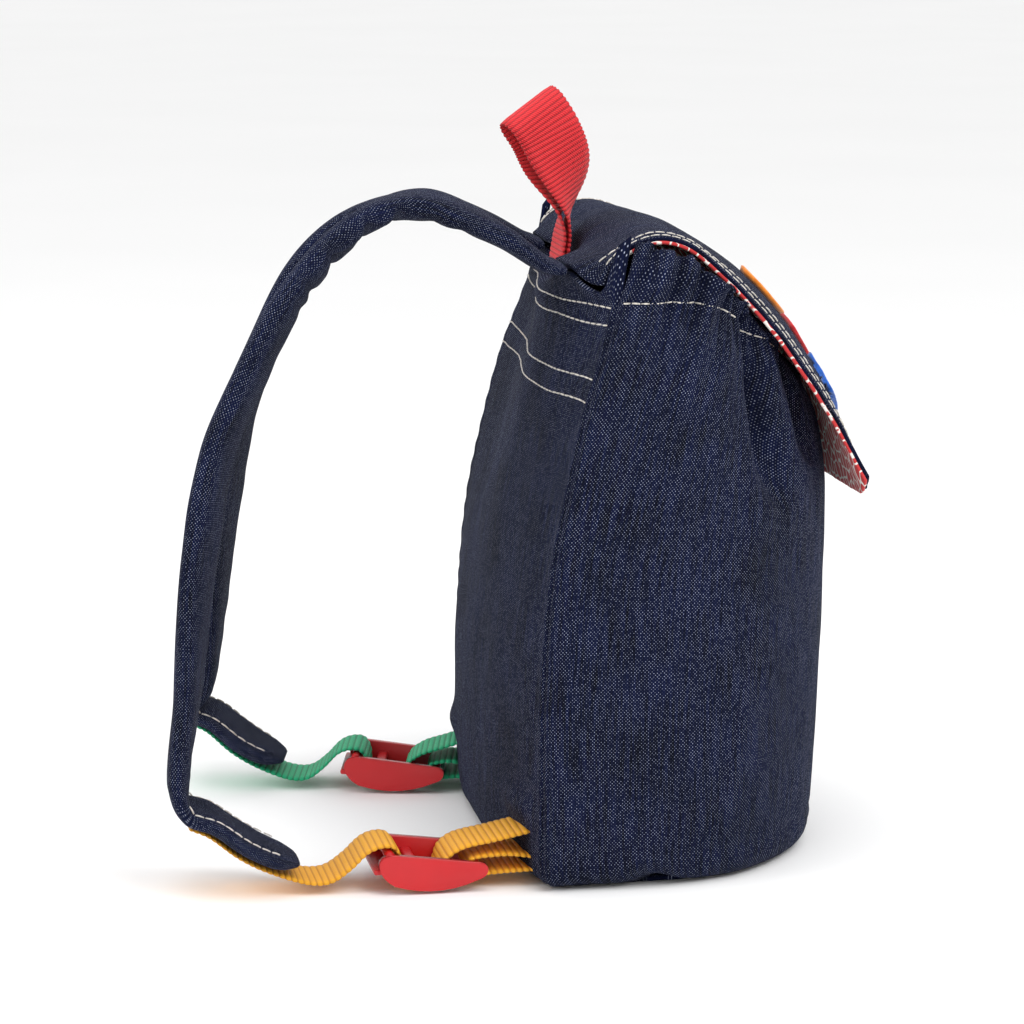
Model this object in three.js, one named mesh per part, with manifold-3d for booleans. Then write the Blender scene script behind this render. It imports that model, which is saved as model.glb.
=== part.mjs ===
// A small child's backpack in denim: a rounded bag with a gathered mouth, a lined flap, two padded shoulder
// straps that end in webbing, two slide buckles and a twisted webbing loop to hang it by.
// Millimetres, +Z up. The origin is on the floor under the middle of the base. The flap's side is -Y, the side
// that lies against the wearer's back is +Y, and the wearer's left is -X.
import * as THREE from "three";
import { mergeVertices } from "three/addons/utils/BufferGeometryUtils.js";
import Module from "manifold-3d";

// The bag.
const BODY_WIDTH = 200;
const BODY_DEPTH = 140;
const BODY_HEIGHT = 214; // floor to the stitch line under the gathered mouth
const CASING_HEIGHT = 19; // the gathered band above that line
const BACK_CROWN = 16; // how far the middle of the back stands behind its side seams
const SIDE_STRAIGHT = 34; // flat stretch of the side next to the seam
const MOUTH_DROP = 26; // how much lower the mouth is at the front than at the seams
const MOUTH_LEVEL = 0.07; // share of the panel next to a seam where the mouth stays level
const MOUTH_LOW = 0.42; // share from which it is at its lowest
const DROP_POWER = 3; // how fast the drop fades below the mouth
const CLOTH = 1.6; // wall of the bag
const GAP = 0.4; // clearance between sewn pieces
const RIM_GAP = 1.0; // the base's clearance, its rim having fewer corners than the hem
const BACK_TOP_RISE = 8.5; // top of the back above the stitch line
const BACK_TOP_SAG = 4; // dip of the back's top edge between the straps
const BACK_TOP_TUCK = 13; // how far forward the edge goes in the dip
const BACK_TOP_FLATNESS = 9;
const DIP_REACH = 0.46; // half the dip's length, as a share of the back's half width
const SKEW_SPAN = { start: -0.1, end: 0.45 }; // shares of the half width over which the crown turns flatter
const HEM_TURN = 7; // how far the walls turn in under the bag
const HEM_LIFT = 0.5; // the turned hem's height above the floor, on which the base lies

// Gathers at the mouth, creases below them and the notch in the hem.
const GATHER_COUNT = 12;
const GATHER_DEPTH = 3;
const CREASE_DEPTH = 6;
const CREASE_WIDTH = 10;
const NOTCH_LIFT = 3.4;
const NOTCH_WIDTH = 8;

// The flap, its lining and the felt on it.
const FLAP_WIDTH = 150;
const FLAP_THICKNESS = 1.4;
const LINING_THICKNESS = 1.0;
const FLAP_CROWN = 10;
const LIP_CURVE = 4;
const UNDER_FLAP = 2.8; // clearance between the lining and the gathered mouth
const CORNER_RADIUS = 9;
const CORNER_SHARES = { start: 0.82, end: 1.06 }; // where the rounding starts and ends across the flap
const FELT_THICKNESS = 2;
const FELT_LIFT = 0.75;

// The shoulder straps.
const STRAP_WIDTH = 40;
const STRAP_THICKNESS = 10;
const STRAP_ROOT_X = 0.225 * BODY_WIDTH; // middle of the root to the middle of the bag
const STRAP_ROOT_BACK = 0.9; // the root behind the back's top edge
const STRAP_ROOT_UP = 1; // and above it
const PUCKER_COUNT = 5;
const PUCKER_DEPTH = 1.8;
const PUCKER_SHARES = { start: 0.1, full: 0.16, fade: 0.38, end: 0.46 }; // along the strap
const STRAP_ROOT_THICK = 0.45; // share of its thickness at its root
const STRAP_ROUNDNESS = { sides: 0.5, faces: 0.7 }; // powers of its section, 1 being an ellipse

// The webbing and the buckles.
const WEBBING_WIDTH = 25;
const WEBBING_THICKNESS = 1.5;
const WEBBING_X = 0.36 * BODY_WIDTH; // middle of the webbing to the middle of the bag
const RAIL_LENGTH = 40;
const RAIL_HEIGHT = 13.5;
const RAIL_THICKNESS = 4;
const RAIL_PLAY = 0.9; // room between the webbing's edge and a rail
const BAR_RADIUS = 1.8;
const MIDDLE_BAR_LENGTH = 4;
const MIDDLE_BAR_THICKNESS = 2.4;
const TAB_LENGTH = 9;
const TAB_THICKNESS = 2;
const FLOOR_LIFT = 0.35; // lowest webbing above the floor
const SEAT_GAP = 0.8; // webbing's end to the bag's back
const END_STEP = 0.25; // least step between the webbing's stations there
const END_STATIONS = 5;
const END_SHARES = [0.5, 1]; // the last points of the way from the buckle to the bag
const ANCHOR_DROP = 0.6; // how far the short webbing's ends close up on the bag
const ANCHOR_SAG = { top: 0.8, foot: 0.3 }; // how far its two runs bow apart

// The hanging loop.
const LOOP_HEIGHT = 59;
const LOOP_OPENING = 11;
const LOOP_ROOT_LIFT = 1; // above the dip in the back's top edge
const LOOP_TWIST = -80; // degrees, from the seam to the top
const LOOP_LEAN = 12; // how far its top stands behind its root
const LOOP_TURNING = { start: 0.1, end: 0.75 }; // shares of its height over which it turns
const LOOP_PARTING = { start: 0.1, end: 0.7 }; // and over which its legs part

// Sections of the bag from the hem up. Lengths are shares: height of BODY_HEIGHT, halfWidth of half BODY_WIDTH,
// seam and front of half BODY_DEPTH, crown of BACK_CROWN, gather of GATHER_DEPTH and turn of HEM_TURN. flatness
// is the power of the back's crown, 2 being a parabola, and skew the share of it that its right half lacks.
const BODY_SECTIONS = [
  { height: 0, halfWidth: 0.95, seam: 0.76, crown: 0.56, flatness: 2.6, skew: 0, front: 0.93, gather: 0, turn: 1 },
  { height: 0.007, halfWidth: 0.955, seam: 0.765, crown: 0.56, flatness: 2.6, skew: 0, front: 0.93, gather: 0, turn: 0.4 },
  { height: 0.028, halfWidth: 0.965, seam: 0.77, crown: 0.57, flatness: 2.6, skew: 0, front: 0.935, gather: 0, turn: 0.06 },
  { height: 0.15, halfWidth: 0.985, seam: 0.773, crown: 0.58, flatness: 2.6, skew: 0, front: 0.962, gather: 0, turn: 0 },
  { height: 0.34, halfWidth: 0.985, seam: 0.768, crown: 0.53, flatness: 2.8, skew: 0, front: 0.985, gather: 0, turn: 0 },
  { height: 0.54, halfWidth: 0.97, seam: 0.719, crown: 0.5, flatness: 3, skew: 0.3, front: 1, gather: 0.05, turn: 0 },
  { height: 0.7, halfWidth: 0.95, seam: 0.623, crown: 0.54, flatness: 3.2, skew: 0.6, front: 0.99, gather: 0.2, turn: 0 },
  { height: 0.83, halfWidth: 0.92, seam: 0.522, crown: 0.66, flatness: 3.6, skew: 0.7, front: 0.93, gather: 0.45, turn: 0 },
  { height: 0.93, halfWidth: 0.88, seam: 0.414, crown: 0.86, flatness: 4, skew: 0.6, front: 0.83, gather: 0.75, turn: 0 },
  { height: 1, halfWidth: 0.84, seam: 0.345, crown: 1.08, flatness: 4.5, skew: 0.48, front: 0.7, gather: 0.9, turn: 0 },
];
// The gathered band above the stitch line. rise is a share of CASING_HEIGHT.
const CASING_SECTIONS = [
  { rise: 0.42, halfWidth: 0.82, seam: 0.295, crown: 1.16, flatness: 5, skew: 0.45, front: 0.655, gather: 1.3, turn: 0 },
  { rise: 1, halfWidth: 0.765, seam: 0.235, crown: 1, flatness: 5, skew: 0.45, front: 0.575, gather: 1.15, turn: 0 },
];
const FRONT_POWER = 2.15; // roundness of the front in plan, 2 being an ellipse
const STRAIGHT_SHARE = 0.12; // share of the panel's columns on each flat stretch
const PANEL_COLUMNS = 72;
const BACK_COLUMNS = 16;
const BACK_BUNCH = 1.3; // how much closer the back's columns stand near its seams, in radians

// Creases that hang from the gathers on both sides. along is a share of the panel from its seam, top and foot
// are shares of BODY_HEIGHT, depth is a share of CREASE_DEPTH.
const CREASES = [
  { along: 0.262, top: 1, foot: 0.66, depth: 1 },
  { along: 0.34, top: 0.97, foot: 0.72, depth: 0.6 },
];
const NOTCH_ALONG = 0.13;
const NOTCH_REACH = 0.06; // share of BODY_HEIGHT over which the notch fades
const SEAM_CALM = 0.06; // share of the panel next to a seam that the folds leave flat

// The flap's side edge after its rear seam: out is a share of half BODY_DEPTH, up a share of BODY_HEIGHT, crown a
// share of FLAP_CROWN.
const FLAP_PROFILE = [
  { out: 0.32, up: 1.083, crown: -0.1 },
  { out: 0.13, up: 1.11, crown: 0 },
  { out: -0.06, up: 1.096, crown: 0.25 },
  { out: -0.225, up: 1.053, crown: 0.6 },
  { out: -0.38, up: 1.003, crown: 0.9 },
  { out: -0.55, up: 0.938, crown: 1 },
  { out: -0.715, up: 0.862, crown: 1 },
  { out: -0.885, up: 0.775, crown: 0.75 },
  { out: -1.035, up: 0.66, crown: 0.35 },
];
const FLAP_COLUMNS = 12;

// Felt shapes on the flap. across and size, the shape's radius, are shares of half FLAP_WIDTH, along is a share of
// the flap's length, corners is 0 for a disc and turn is in degrees.
const FELT_SHAPES = [
  { name: "felt_disc_orange", colour: "orange", across: -0.38, along: 0.525, size: 0.147, corners: 0, turn: 0 },
  { name: "felt_square_red", colour: "red", across: -0.2, along: 0.665, size: 0.173, corners: 4, turn: 20 },
  { name: "felt_triangle_blue", colour: "blue", across: -0.56, along: 0.77, size: 0.187, corners: 3, turn: 60 },
  { name: "felt_disc_blue", colour: "blue", across: 0.46, along: 0.55, size: 0.133, corners: 0, turn: 0 },
  { name: "felt_triangle_orange", colour: "orange", across: 0.42, along: 0.78, size: 0.187, corners: 3, turn: 10 },
];

// The two sides. reach, how far the strap stands behind its root, and standoff, how far the buckle stands behind the
// bag, are shares of BODY_DEPTH. rise is a share of the arch over the root. slack is a share of the webbing's run
// behind the buckle. twist turns the strap's width and splay turns the webbing and the buckle about a vertical, both
// in degrees.
const SIDES = [
  { name: "left", sign: -1, reach: 1.0286, rise: 1, standoff: 0.105, slack: 1, twist: -10, splay: 0, colour: "yellow" },
  {
    name: "right",
    sign: 1,
    reach: 0.941,
    rise: 0.6,
    standoff: 0.034,
    slack: 0.9,
    twist: -20,
    splay: -12,
    colour: "green",
  },
];

// A padded strap behind its root. out is a share of the reach from the root, up a share of the root's height,
// spread a share of the way from STRAP_ROOT_X to WEBBING_X, thick a share of STRAP_THICKNESS.
const STRAP_PROFILE = [
  { out: 0.035, up: 1.006, spread: 0, thick: 0.6 },
  { out: 0.152, up: 1.056, spread: 0, thick: 0.85 },
  { out: 0.332, up: 1.105, spread: 0.05, thick: 1 },
  { out: 0.45, up: 1.094, spread: 0.15, thick: 1 },
  { out: 0.553, up: 1.036, spread: 0.25, thick: 1 },
  { out: 0.675, up: 0.938, spread: 0.38, thick: 1 },
  { out: 0.772, up: 0.828, spread: 0.5, thick: 1 },
  { out: 0.858, up: 0.718, spread: 0.6, thick: 1 },
  { out: 0.924, up: 0.544, spread: 0.74, thick: 0.95 },
  { out: 0.972, up: 0.331, spread: 0.87, thick: 0.9 },
  { out: 1, up: 0.188, spread: 0.97, thick: 0.8 },
];
// The strap's bend and tail, which lies on its webbing. ahead is the distance behind the buckle's rear end as a
// share of RAIL_LENGTH, up a share of RAIL_HEIGHT, width and thick shares of the strap's own.
const STRAP_TAIL = [
  { ahead: 2.725, up: 2.37, width: 1, thick: 0.55 },
  { ahead: 2.48, up: 2.05, width: 1, thick: 0.6 },
  { ahead: 2.2, up: 1.44, width: 1, thick: 0.66 },
  { ahead: 1.95, up: 1.04, width: 0.92, thick: 0.66 },
  { ahead: 1.7, up: 0.8, width: 0.66, thick: 0.45 },
];
const STRAP_STATIONS = 44;
const STRAP_SIDES = 10;
const STRAP_WEBBING_STATIONS = 56;
const ANCHOR_WEBBING_STATIONS = 24;
// The webbing under the tail begins this share of the way to a point below the bend, given from the bend in mm.
const TAIL_WEBBING_REACH = 0.6;
const TAIL_BEND_OFFSET = new THREE.Vector3(0, 3.2, -3.2);
const TAIL_GAP = 0.7; // between the tail and its webbing

// The webbing from the strap's tip through the buckle, over the front bar and under the middle bar. ahead and up
// are shares as above. From its last row it rises on to the bag's back.
const WEBBING_ROUTE = [
  { ahead: 1.6, up: 0.33 },
  { ahead: 1.42, up: 0.36 },
  { ahead: 1.25, up: 0.68 },
  { ahead: 1.08, up: 1.13 },
  { ahead: 0.955, up: 1.262 },
  { ahead: 0.85, up: 1.23 },
  { ahead: 0.79, up: 0.98 },
  { ahead: 0.775, up: 0.6 },
  { ahead: 0.74, up: 0.3 },
  { ahead: 0.66, up: 0.13 },
  { ahead: 0.54, up: 0.085 },
  { ahead: 0.44, up: 0.2 },
  { ahead: 0.4, up: 0.5 },
  { ahead: 0.36, up: 0.83 },
  { ahead: 0.24, up: 1.1 },
];
const WEBBING_END_UP = 1.55;
// The buckle's bars, in the same shares.
const BARS = {
  rear: { ahead: 0.09, up: 0.62 },
  middle: { ahead: 0.66, up: 0.66 },
  front: { ahead: 0.89, up: 1.02 },
  tab: { ahead: 0.93, up: 0.62 },
};
const BAR_SIDES = 12;
// The rails' outline in the same shares, from their rear end round. Each row bends towards its first points and
// ends on its last.
const RAIL_START = { ahead: 0, up: 0.62 };
const RAIL_OUTLINE = [
  [{ ahead: 0, up: 0.42 }, { ahead: 0.1, up: 0.34 }],
  [{ ahead: 0.35, up: 0.02 }, { ahead: 0.62, up: 0.02 }, { ahead: 0.86, up: 0.26 }],
  [{ ahead: 1, up: 0.5 }, { ahead: 1, up: 0.86 }],
  [{ ahead: 0.98, up: 1.1 }, { ahead: 0.88, up: 1.1 }],
  [{ ahead: 0.08, up: 0.8 }],
  [{ ahead: 0, up: 0.78 }, RAIL_START],
];
const RAIL_STEPS = 5; // per bend

const FINISHES = {
  denim: { colour: 0x1d2746, roughness: 0.9 },
  print: { colour: 0xc9483f, roughness: 0.85 },
  felt_red: { colour: 0xd1232a, roughness: 0.95 },
  felt_orange: { colour: 0xf08a1d, roughness: 0.95 },
  felt_blue: { colour: 0x1561c9, roughness: 0.95 },
  webbing_yellow: { colour: 0xf2a11c, roughness: 0.6 },
  webbing_green: { colour: 0x0b8a52, roughness: 0.6 },
  webbing_red: { colour: 0xd1232a, roughness: 0.6 },
  buckle: { colour: 0xd1232a, roughness: 0.35 },
};

const wasm = await Module();
wasm.setup();

/** A plain material of a named finish. */
function material(name) {
  const { colour, roughness } = FINISHES[name];
  return new THREE.MeshStandardMaterial({ color: colour, roughness, metalness: 0 });
}

const bag = new THREE.Group();

/** Adds a named piece to the bag. */
function addPiece(name, geometry, finish) {
  const mesh = new THREE.Mesh(geometry, finish);
  mesh.name = name;
  bag.add(mesh);
}

/** A closed geometry from points and triangles, turned to face outwards. */
function closedGeometry(points, triangles) {
  let volume = 0;
  for (const [a, b, c] of triangles) {
    volume += points[a].dot(new THREE.Vector3().crossVectors(points[b], points[c]));
  }
  const facing = volume < 0 ? triangles.map(([a, b, c]) => [a, c, b]) : triangles;
  const geometry = new THREE.BufferGeometry().setFromPoints(points);
  geometry.setIndex(facing.flat());
  return geometry;
}

/** Two triangles for the quad a, b, c, d. */
function quad(a, b, c, d) {
  return [
    [a, b, c],
    [a, c, d],
  ];
}

/** A grid's points moved square to its surface. A grid is an array of rows. */
function offsetGrid(grid, distance) {
  const lastRow = grid.length - 1;
  return grid.map((row, j) =>
    row.map((point, i) => {
      const across = row[Math.min(i + 1, row.length - 1)].clone().sub(row[Math.max(i - 1, 0)]);
      const up = grid[Math.min(j + 1, lastRow)][i].clone().sub(grid[Math.max(j - 1, 0)][i]);
      return point.clone().addScaledVector(across.cross(up).normalize(), distance);
    }),
  );
}

/** A closed wall between two grids of the same size. */
function wallBetween(outer, inner) {
  const rows = outer.length;
  const columns = outer[0].length;
  const points = [...outer.flat(), ...inner.flat()];
  const at = (layer, j, i) => layer * rows * columns + j * columns + i;
  const triangles = [];
  for (let j = 0; j + 1 < rows; j++) {
    for (let i = 0; i + 1 < columns; i++) {
      triangles.push(...quad(at(0, j, i), at(0, j, i + 1), at(0, j + 1, i + 1), at(0, j + 1, i)));
      triangles.push(...quad(at(1, j, i), at(1, j + 1, i), at(1, j + 1, i + 1), at(1, j, i + 1)));
    }
    const last = columns - 1;
    triangles.push(...quad(at(0, j, 0), at(0, j + 1, 0), at(1, j + 1, 0), at(1, j, 0)));
    triangles.push(...quad(at(0, j, last), at(1, j, last), at(1, j + 1, last), at(0, j + 1, last)));
  }
  for (let i = 0; i + 1 < columns; i++) {
    const last = rows - 1;
    triangles.push(...quad(at(0, 0, i), at(1, 0, i), at(1, 0, i + 1), at(0, 0, i + 1)));
    triangles.push(...quad(at(0, last, i), at(0, last, i + 1), at(1, last, i + 1), at(1, last, i)));
  }
  return closedGeometry(points, triangles);
}

/** A closed plate from two stacks of rings about their centres, the last ring of each being its rim. */
function plateBetween(top, bottom) {
  const rings = top.rings.length;
  const sides = top.rings[0].length;
  const layerSize = 1 + rings * sides;
  const points = [top.centre, ...top.rings.flat(), bottom.centre, ...bottom.rings.flat()];
  const at = (layer, ring, i) => layer * layerSize + 1 + ring * sides + (i % sides);
  const rim = rings - 1;
  const triangles = [];
  for (let i = 0; i < sides; i++) {
    triangles.push([0, at(0, 0, i), at(0, 0, i + 1)]);
    triangles.push([layerSize, at(1, 0, i + 1), at(1, 0, i)]);
    for (let r = 0; r < rim; r++) {
      triangles.push(...quad(at(0, r, i), at(0, r + 1, i), at(0, r + 1, i + 1), at(0, r, i + 1)));
      triangles.push(...quad(at(1, r, i), at(1, r, i + 1), at(1, r + 1, i + 1), at(1, r + 1, i)));
    }
    triangles.push(...quad(at(0, rim, i), at(1, rim, i), at(1, rim, i + 1), at(0, rim, i + 1)));
  }
  return closedGeometry(points, triangles);
}

/** A closed tube through rings of equal size, capped at both ends. */
function tubeThrough(rings) {
  const sides = rings[0].length;
  const points = rings.flat();
  const capCentres = [rings[0], rings.at(-1)].map((ring) => {
    const middle = new THREE.Vector3();
    ring.forEach((point) => middle.addScaledVector(point, 1 / sides));
    return points.push(middle) - 1;
  });
  const at = (j, i) => j * sides + (i % sides);
  const last = rings.length - 1;
  const triangles = [];
  for (let i = 0; i < sides; i++) {
    for (let j = 0; j < last; j++) {
      triangles.push(...quad(at(j, i), at(j, i + 1), at(j + 1, i + 1), at(j + 1, i)));
    }
    triangles.push([capCentres[0], at(0, i + 1), at(0, i)]);
    triangles.push([capCentres[1], at(last, i), at(last, i + 1)]);
  }
  return closedGeometry(points, triangles);
}

/** Reads one column of a table as a smooth function of another. */
function smoothColumn(table, key, column) {
  const curve = new THREE.CubicInterpolant(
    table.map((row) => row[key]),
    table.map((row) => row[column]),
    1,
  );
  return (value) => curve.evaluate(value)[0];
}

/** Smooth step from 0 at low to 1 at high. */
function ease(value, low, high) {
  return THREE.MathUtils.smoothstep(value, low, high);
}

// The bag's sections as heights in millimetres.
const sections = [
  ...BODY_SECTIONS.map((row) => ({ ...row, z: HEM_LIFT + row.height * (BODY_HEIGHT - HEM_LIFT) })),
  ...CASING_SECTIONS.map((row) => ({ ...row, z: BODY_HEIGHT + row.rise * CASING_HEIGHT })),
];
const read = Object.fromEntries(
  ["halfWidth", "seam", "crown", "flatness", "skew", "front", "gather", "turn"].map((column) => [
    column,
    smoothColumn(sections, "z", column),
  ]),
);

/** The bag's plan sizes in millimetres at a height. */
function sectionAt(z) {
  const turn = Math.max(read.turn(z), 0) * HEM_TURN;
  return {
    halfWidth: (read.halfWidth(z) * BODY_WIDTH) / 2 - turn,
    seam: (read.seam(z) * BODY_DEPTH) / 2 - turn,
    crown: read.crown(z) * BACK_CROWN,
    flatness: read.flatness(z),
    skew: read.skew(z),
    front: (-read.front(z) * BODY_DEPTH) / 2 + turn,
    gather: Math.max(read.gather(z), 0) * GATHER_DEPTH,
  };
}

/** The plan outline of the side-and-front panel without its folds. Share 0 is the left seam, 0.5 the front. */
function outlinePoint(share, size) {
  const side = share < 0.5 ? -1 : 1;
  const fromSeam = Math.min(share, 1 - share);
  const turnY = size.seam - SIDE_STRAIGHT;
  if (fromSeam < STRAIGHT_SHARE) {
    const y = THREE.MathUtils.lerp(size.seam, turnY, fromSeam / STRAIGHT_SHARE);
    return new THREE.Vector2(side * size.halfWidth, y);
  }
  const angle = ((fromSeam - STRAIGHT_SHARE) / (0.5 - STRAIGHT_SHARE)) * (Math.PI / 2);
  const across = Math.max(Math.cos(angle), 0) ** (2 / FRONT_POWER);
  const forward = Math.sin(angle) ** (2 / FRONT_POWER);
  return new THREE.Vector2(side * size.halfWidth * across, turnY - (turnY - size.front) * forward);
}

/** How far the folds move the panel outwards at a share of its length and a height. */
function foldDepth(share, z, gather) {
  const fromSeam = Math.min(share, 1 - share);
  const calm = ease(fromSeam, 0, SEAM_CALM);
  const wave = Math.cos(2 * Math.PI * GATHER_COUNT * share);
  let depth = gather * wave * calm;
  for (const crease of CREASES) {
    const middle = ((crease.top + crease.foot) / 2) * BODY_HEIGHT;
    const half = ((crease.top - crease.foot) / 2) * BODY_HEIGHT;
    const lengthwise = Math.max(1 - ((z - middle) / half) ** 2, 0);
    const offset = ((fromSeam - crease.along) * 2 * (BODY_WIDTH / 2 + BODY_DEPTH / 2)) / CREASE_WIDTH;
    depth -= crease.depth * CREASE_DEPTH * lengthwise * Math.exp(-offset * offset);
  }
  return depth;
}

/** The lift of the hem's notch at a share of the panel and a height. */
function notchLift(share, z) {
  const fromSeam = Math.min(share, 1 - share);
  const offset = ((fromSeam - NOTCH_ALONG) * (BODY_WIDTH + BODY_DEPTH)) / NOTCH_WIDTH;
  return NOTCH_LIFT * Math.exp(-offset * offset) * (1 - ease(z, 0, NOTCH_REACH * BODY_HEIGHT));
}

const flapRows = FLAP_PROFILE.map((row, i) => {
  const before = FLAP_PROFILE[Math.max(i - 1, 0)];
  const after = FLAP_PROFILE[Math.min(i + 1, FLAP_PROFILE.length - 1)];
  const run = ((after.out - before.out) * BODY_DEPTH) / 2;
  const rise = (after.up - before.up) * BODY_HEIGHT;
  return { ...row, normal: new THREE.Vector3(0, rise, -run).normalize() };
});
const flapStack = FLAP_THICKNESS + GAP + LINING_THICKNESS;

/** The flap's outer face at a row of its profile and a share of its half width. */
function flapPoint(row, share) {
  const crown = row.crown * FLAP_CROWN * (1 - share * share);
  const edge = new THREE.Vector3((share * FLAP_WIDTH) / 2, (row.out * BODY_DEPTH) / 2, row.up * BODY_HEIGHT);
  return edge.addScaledVector(row.normal, crown);
}

/** The most height there is for the panel under the flap at x and y. */
function roomUnderFlap(x, y) {
  const share = THREE.MathUtils.clamp(x / (FLAP_WIDTH / 2), -1, 1);
  const line = flapRows.map((row) => flapPoint(row, share));
  const k = line.findIndex((point) => point.y < y);
  if (k === -1) return Infinity;
  if (k === 0) return line[0].z - flapStack - UNDER_FLAP;
  const run = line[k - 1].y - line[k].y;
  const height = THREE.MathUtils.lerp(line[k - 1].z, line[k].z, (line[k - 1].y - y) / run);
  return height - (flapStack + UNDER_FLAP) * Math.hypot(1, (line[k - 1].z - line[k].z) / run);
}

/** A point on the outside of the side-and-front panel. */
function panelPoint(share, z) {
  const size = sectionAt(z);
  const step = 0.5 / PANEL_COLUMNS;
  const before = outlinePoint(Math.max(share - step, 0), size);
  const after = outlinePoint(Math.min(share + step, 1), size);
  const outward = new THREE.Vector2(after.y - before.y, before.x - after.x).normalize();
  const plan = outlinePoint(share, size).addScaledVector(outward, foldDepth(share, z, size.gather));
  const fromSeam = Math.min(share, 1 - share);
  const drop = MOUTH_DROP * (z / BODY_HEIGHT) ** DROP_POWER * ease(fromSeam, MOUTH_LEVEL, MOUTH_LOW);
  const height = Math.min(z - drop + notchLift(share, z), roomUnderFlap(plan.x, plan.y));
  return new THREE.Vector3(plan.x, plan.y, height);
}

/** How far the back stands behind its seams at a share of its half width, -1 to 1. */
function crownDepth(share, size, flatness) {
  const skew = size.skew * ease(share, SKEW_SPAN.start, SKEW_SPAN.end);
  return size.crown * (1 - Math.abs(share) ** flatness) * (1 - skew);
}

/** A point on the outside of the back at a share of its half width and a height. */
function backPoint(share, z, halfWidth) {
  const size = sectionAt(z);
  return new THREE.Vector3(share * halfWidth, size.seam + crownDepth(share, size, size.flatness), z);
}

/** Evenly spaced shares from low to high. */
function shares(count, low = 0, high = 1) {
  return Array.from({ length: count + 1 }, (_, i) => low + ((high - low) * i) / count);
}

const backTop = BODY_HEIGHT + BACK_TOP_RISE;

/** The back's top edge, which curls forward and dips between the straps. */
function backTopPoint(share, halfWidth) {
  const dip = Math.max(1 - (share / DIP_REACH) ** 2, 0) ** 2;
  const size = sectionAt(backTop);
  return new THREE.Vector3(
    share * halfWidth,
    size.seam + crownDepth(share, size, BACK_TOP_FLATNESS) - BACK_TOP_TUCK * dip,
    backTop - BACK_TOP_SAG * dip,
  );
}

// The side-and-front panel, gathered at its top and turned in at its hem.
const panelOuter = sections.map((section) =>
  shares(PANEL_COLUMNS).map((share) => panelPoint(share, section.z)),
);
const panelInner = offsetGrid(panelOuter, -CLOTH);
addPiece("body_panel", wallBetween(panelOuter, panelInner), material("denim"));

// The back fits between the panel's seams.
const innerSeamX = smoothColumn(
  panelInner.map((row) => ({ z: row[0].z, x: Math.abs(row[0].x) })),
  "z",
  "x",
);
const backShares = shares(BACK_COLUMNS, -1, 1).map((share) => Math.sin(share * BACK_BUNCH) / Math.sin(BACK_BUNCH));
const topHalfWidth = innerSeamX(backTop) - GAP;
const backOuter = [
  ...sections
    .map((section) => section.z)
    .filter((z) => z <= BODY_HEIGHT)
    .map((z) => backShares.map((share) => backPoint(share, z, innerSeamX(z) - GAP))),
  backShares.map((share) => backTopPoint(share, topHalfWidth)),
];
const backInner = offsetGrid(backOuter, CLOTH);
addPiece("back_panel", wallBetween(backOuter, backInner), material("denim"));

/** The rim of the base inside a panel's hem, from the hem's outer and inner edges. */
function rimInside(outerEdge, innerEdge) {
  return innerEdge.map((point, i) => {
    const inward = point.clone().sub(outerEdge[i]).setZ(0).normalize();
    return point.clone().addScaledVector(inward, RIM_GAP).setZ(outerEdge[i].z - HEM_LIFT);
  });
}

// The base, flat but for its rim, which follows the notch in the hem.
const everyOther = (_, i) => i % 2 === 1;
const baseRim = [
  ...rimInside(panelOuter[0], panelInner[0]).filter(everyOther),
  ...rimInside(backOuter[0], backInner[0]).filter(everyOther).reverse(),
];
const baseMiddle = new THREE.Vector3(0, 0, 0);
const BASE_RINGS = [0.9, 1];

/** The rings of one face of the base. */
function baseFace(height) {
  const rings = BASE_RINGS.map((share) =>
    baseRim.map((point) => {
      const lift = share === 1 ? point.z : 0;
      return new THREE.Vector3(point.x * share, point.y * share, height + lift);
    }),
  );
  return { centre: baseMiddle.clone().setZ(height), rings };
}
addPiece("base_panel", plateBetween(baseFace(CLOTH), baseFace(0)), material("denim"));

// The flap starts on the back's top edge.
const flapShares = shares(FLAP_COLUMNS, -1, 1);
const flapRear = flapShares.map((share) => {
  const x = (share * FLAP_WIDTH) / 2;
  const edge = backTopPoint(x / topHalfWidth, topHalfWidth);
  return new THREE.Vector3(x, edge.y - GAP, edge.z + GAP + flapStack);
});
const flapOuter = [
  flapRear,
  ...flapRows.map((row) => flapShares.map((share) => flapPoint(row, share))),
];
// The lip hangs lower in the middle and its corners are cut round.
flapOuter.at(-1).forEach((point, i) => {
  const share = Math.abs(flapShares[i]);
  const rounding = CORNER_RADIUS * ease(share, CORNER_SHARES.start, CORNER_SHARES.end) ** 2;
  point.z -= LIP_CURVE * (1 - share * share) - rounding;
});
const flapInner = offsetGrid(flapOuter, FLAP_THICKNESS);
addPiece("flap", wallBetween(flapOuter, flapInner), material("denim"));
addPiece(
  "flap_lining",
  wallBetween(offsetGrid(flapOuter, FLAP_THICKNESS + GAP), offsetGrid(flapOuter, flapStack)),
  material("print"),
);

/** A point on a grid at fractional row and column, with the surface's outward normal. */
function onGrid(grid, rowShare, columnShare) {
  const j = THREE.MathUtils.clamp(rowShare, 0, 1) * (grid.length - 1);
  const i = THREE.MathUtils.clamp(columnShare, 0, 1) * (grid[0].length - 1);
  const [j0, i0] = [Math.min(Math.floor(j), grid.length - 2), Math.min(Math.floor(i), grid[0].length - 2)];
  const low = grid[j0][i0].clone().lerp(grid[j0][i0 + 1], i - i0);
  const high = grid[j0 + 1][i0].clone().lerp(grid[j0 + 1][i0 + 1], i - i0);
  const across = grid[j0][i0 + 1].clone().sub(grid[j0][i0]);
  const normal = high.clone().sub(low).cross(across).normalize();
  return { point: low.lerp(high, j - j0), normal };
}

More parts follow.
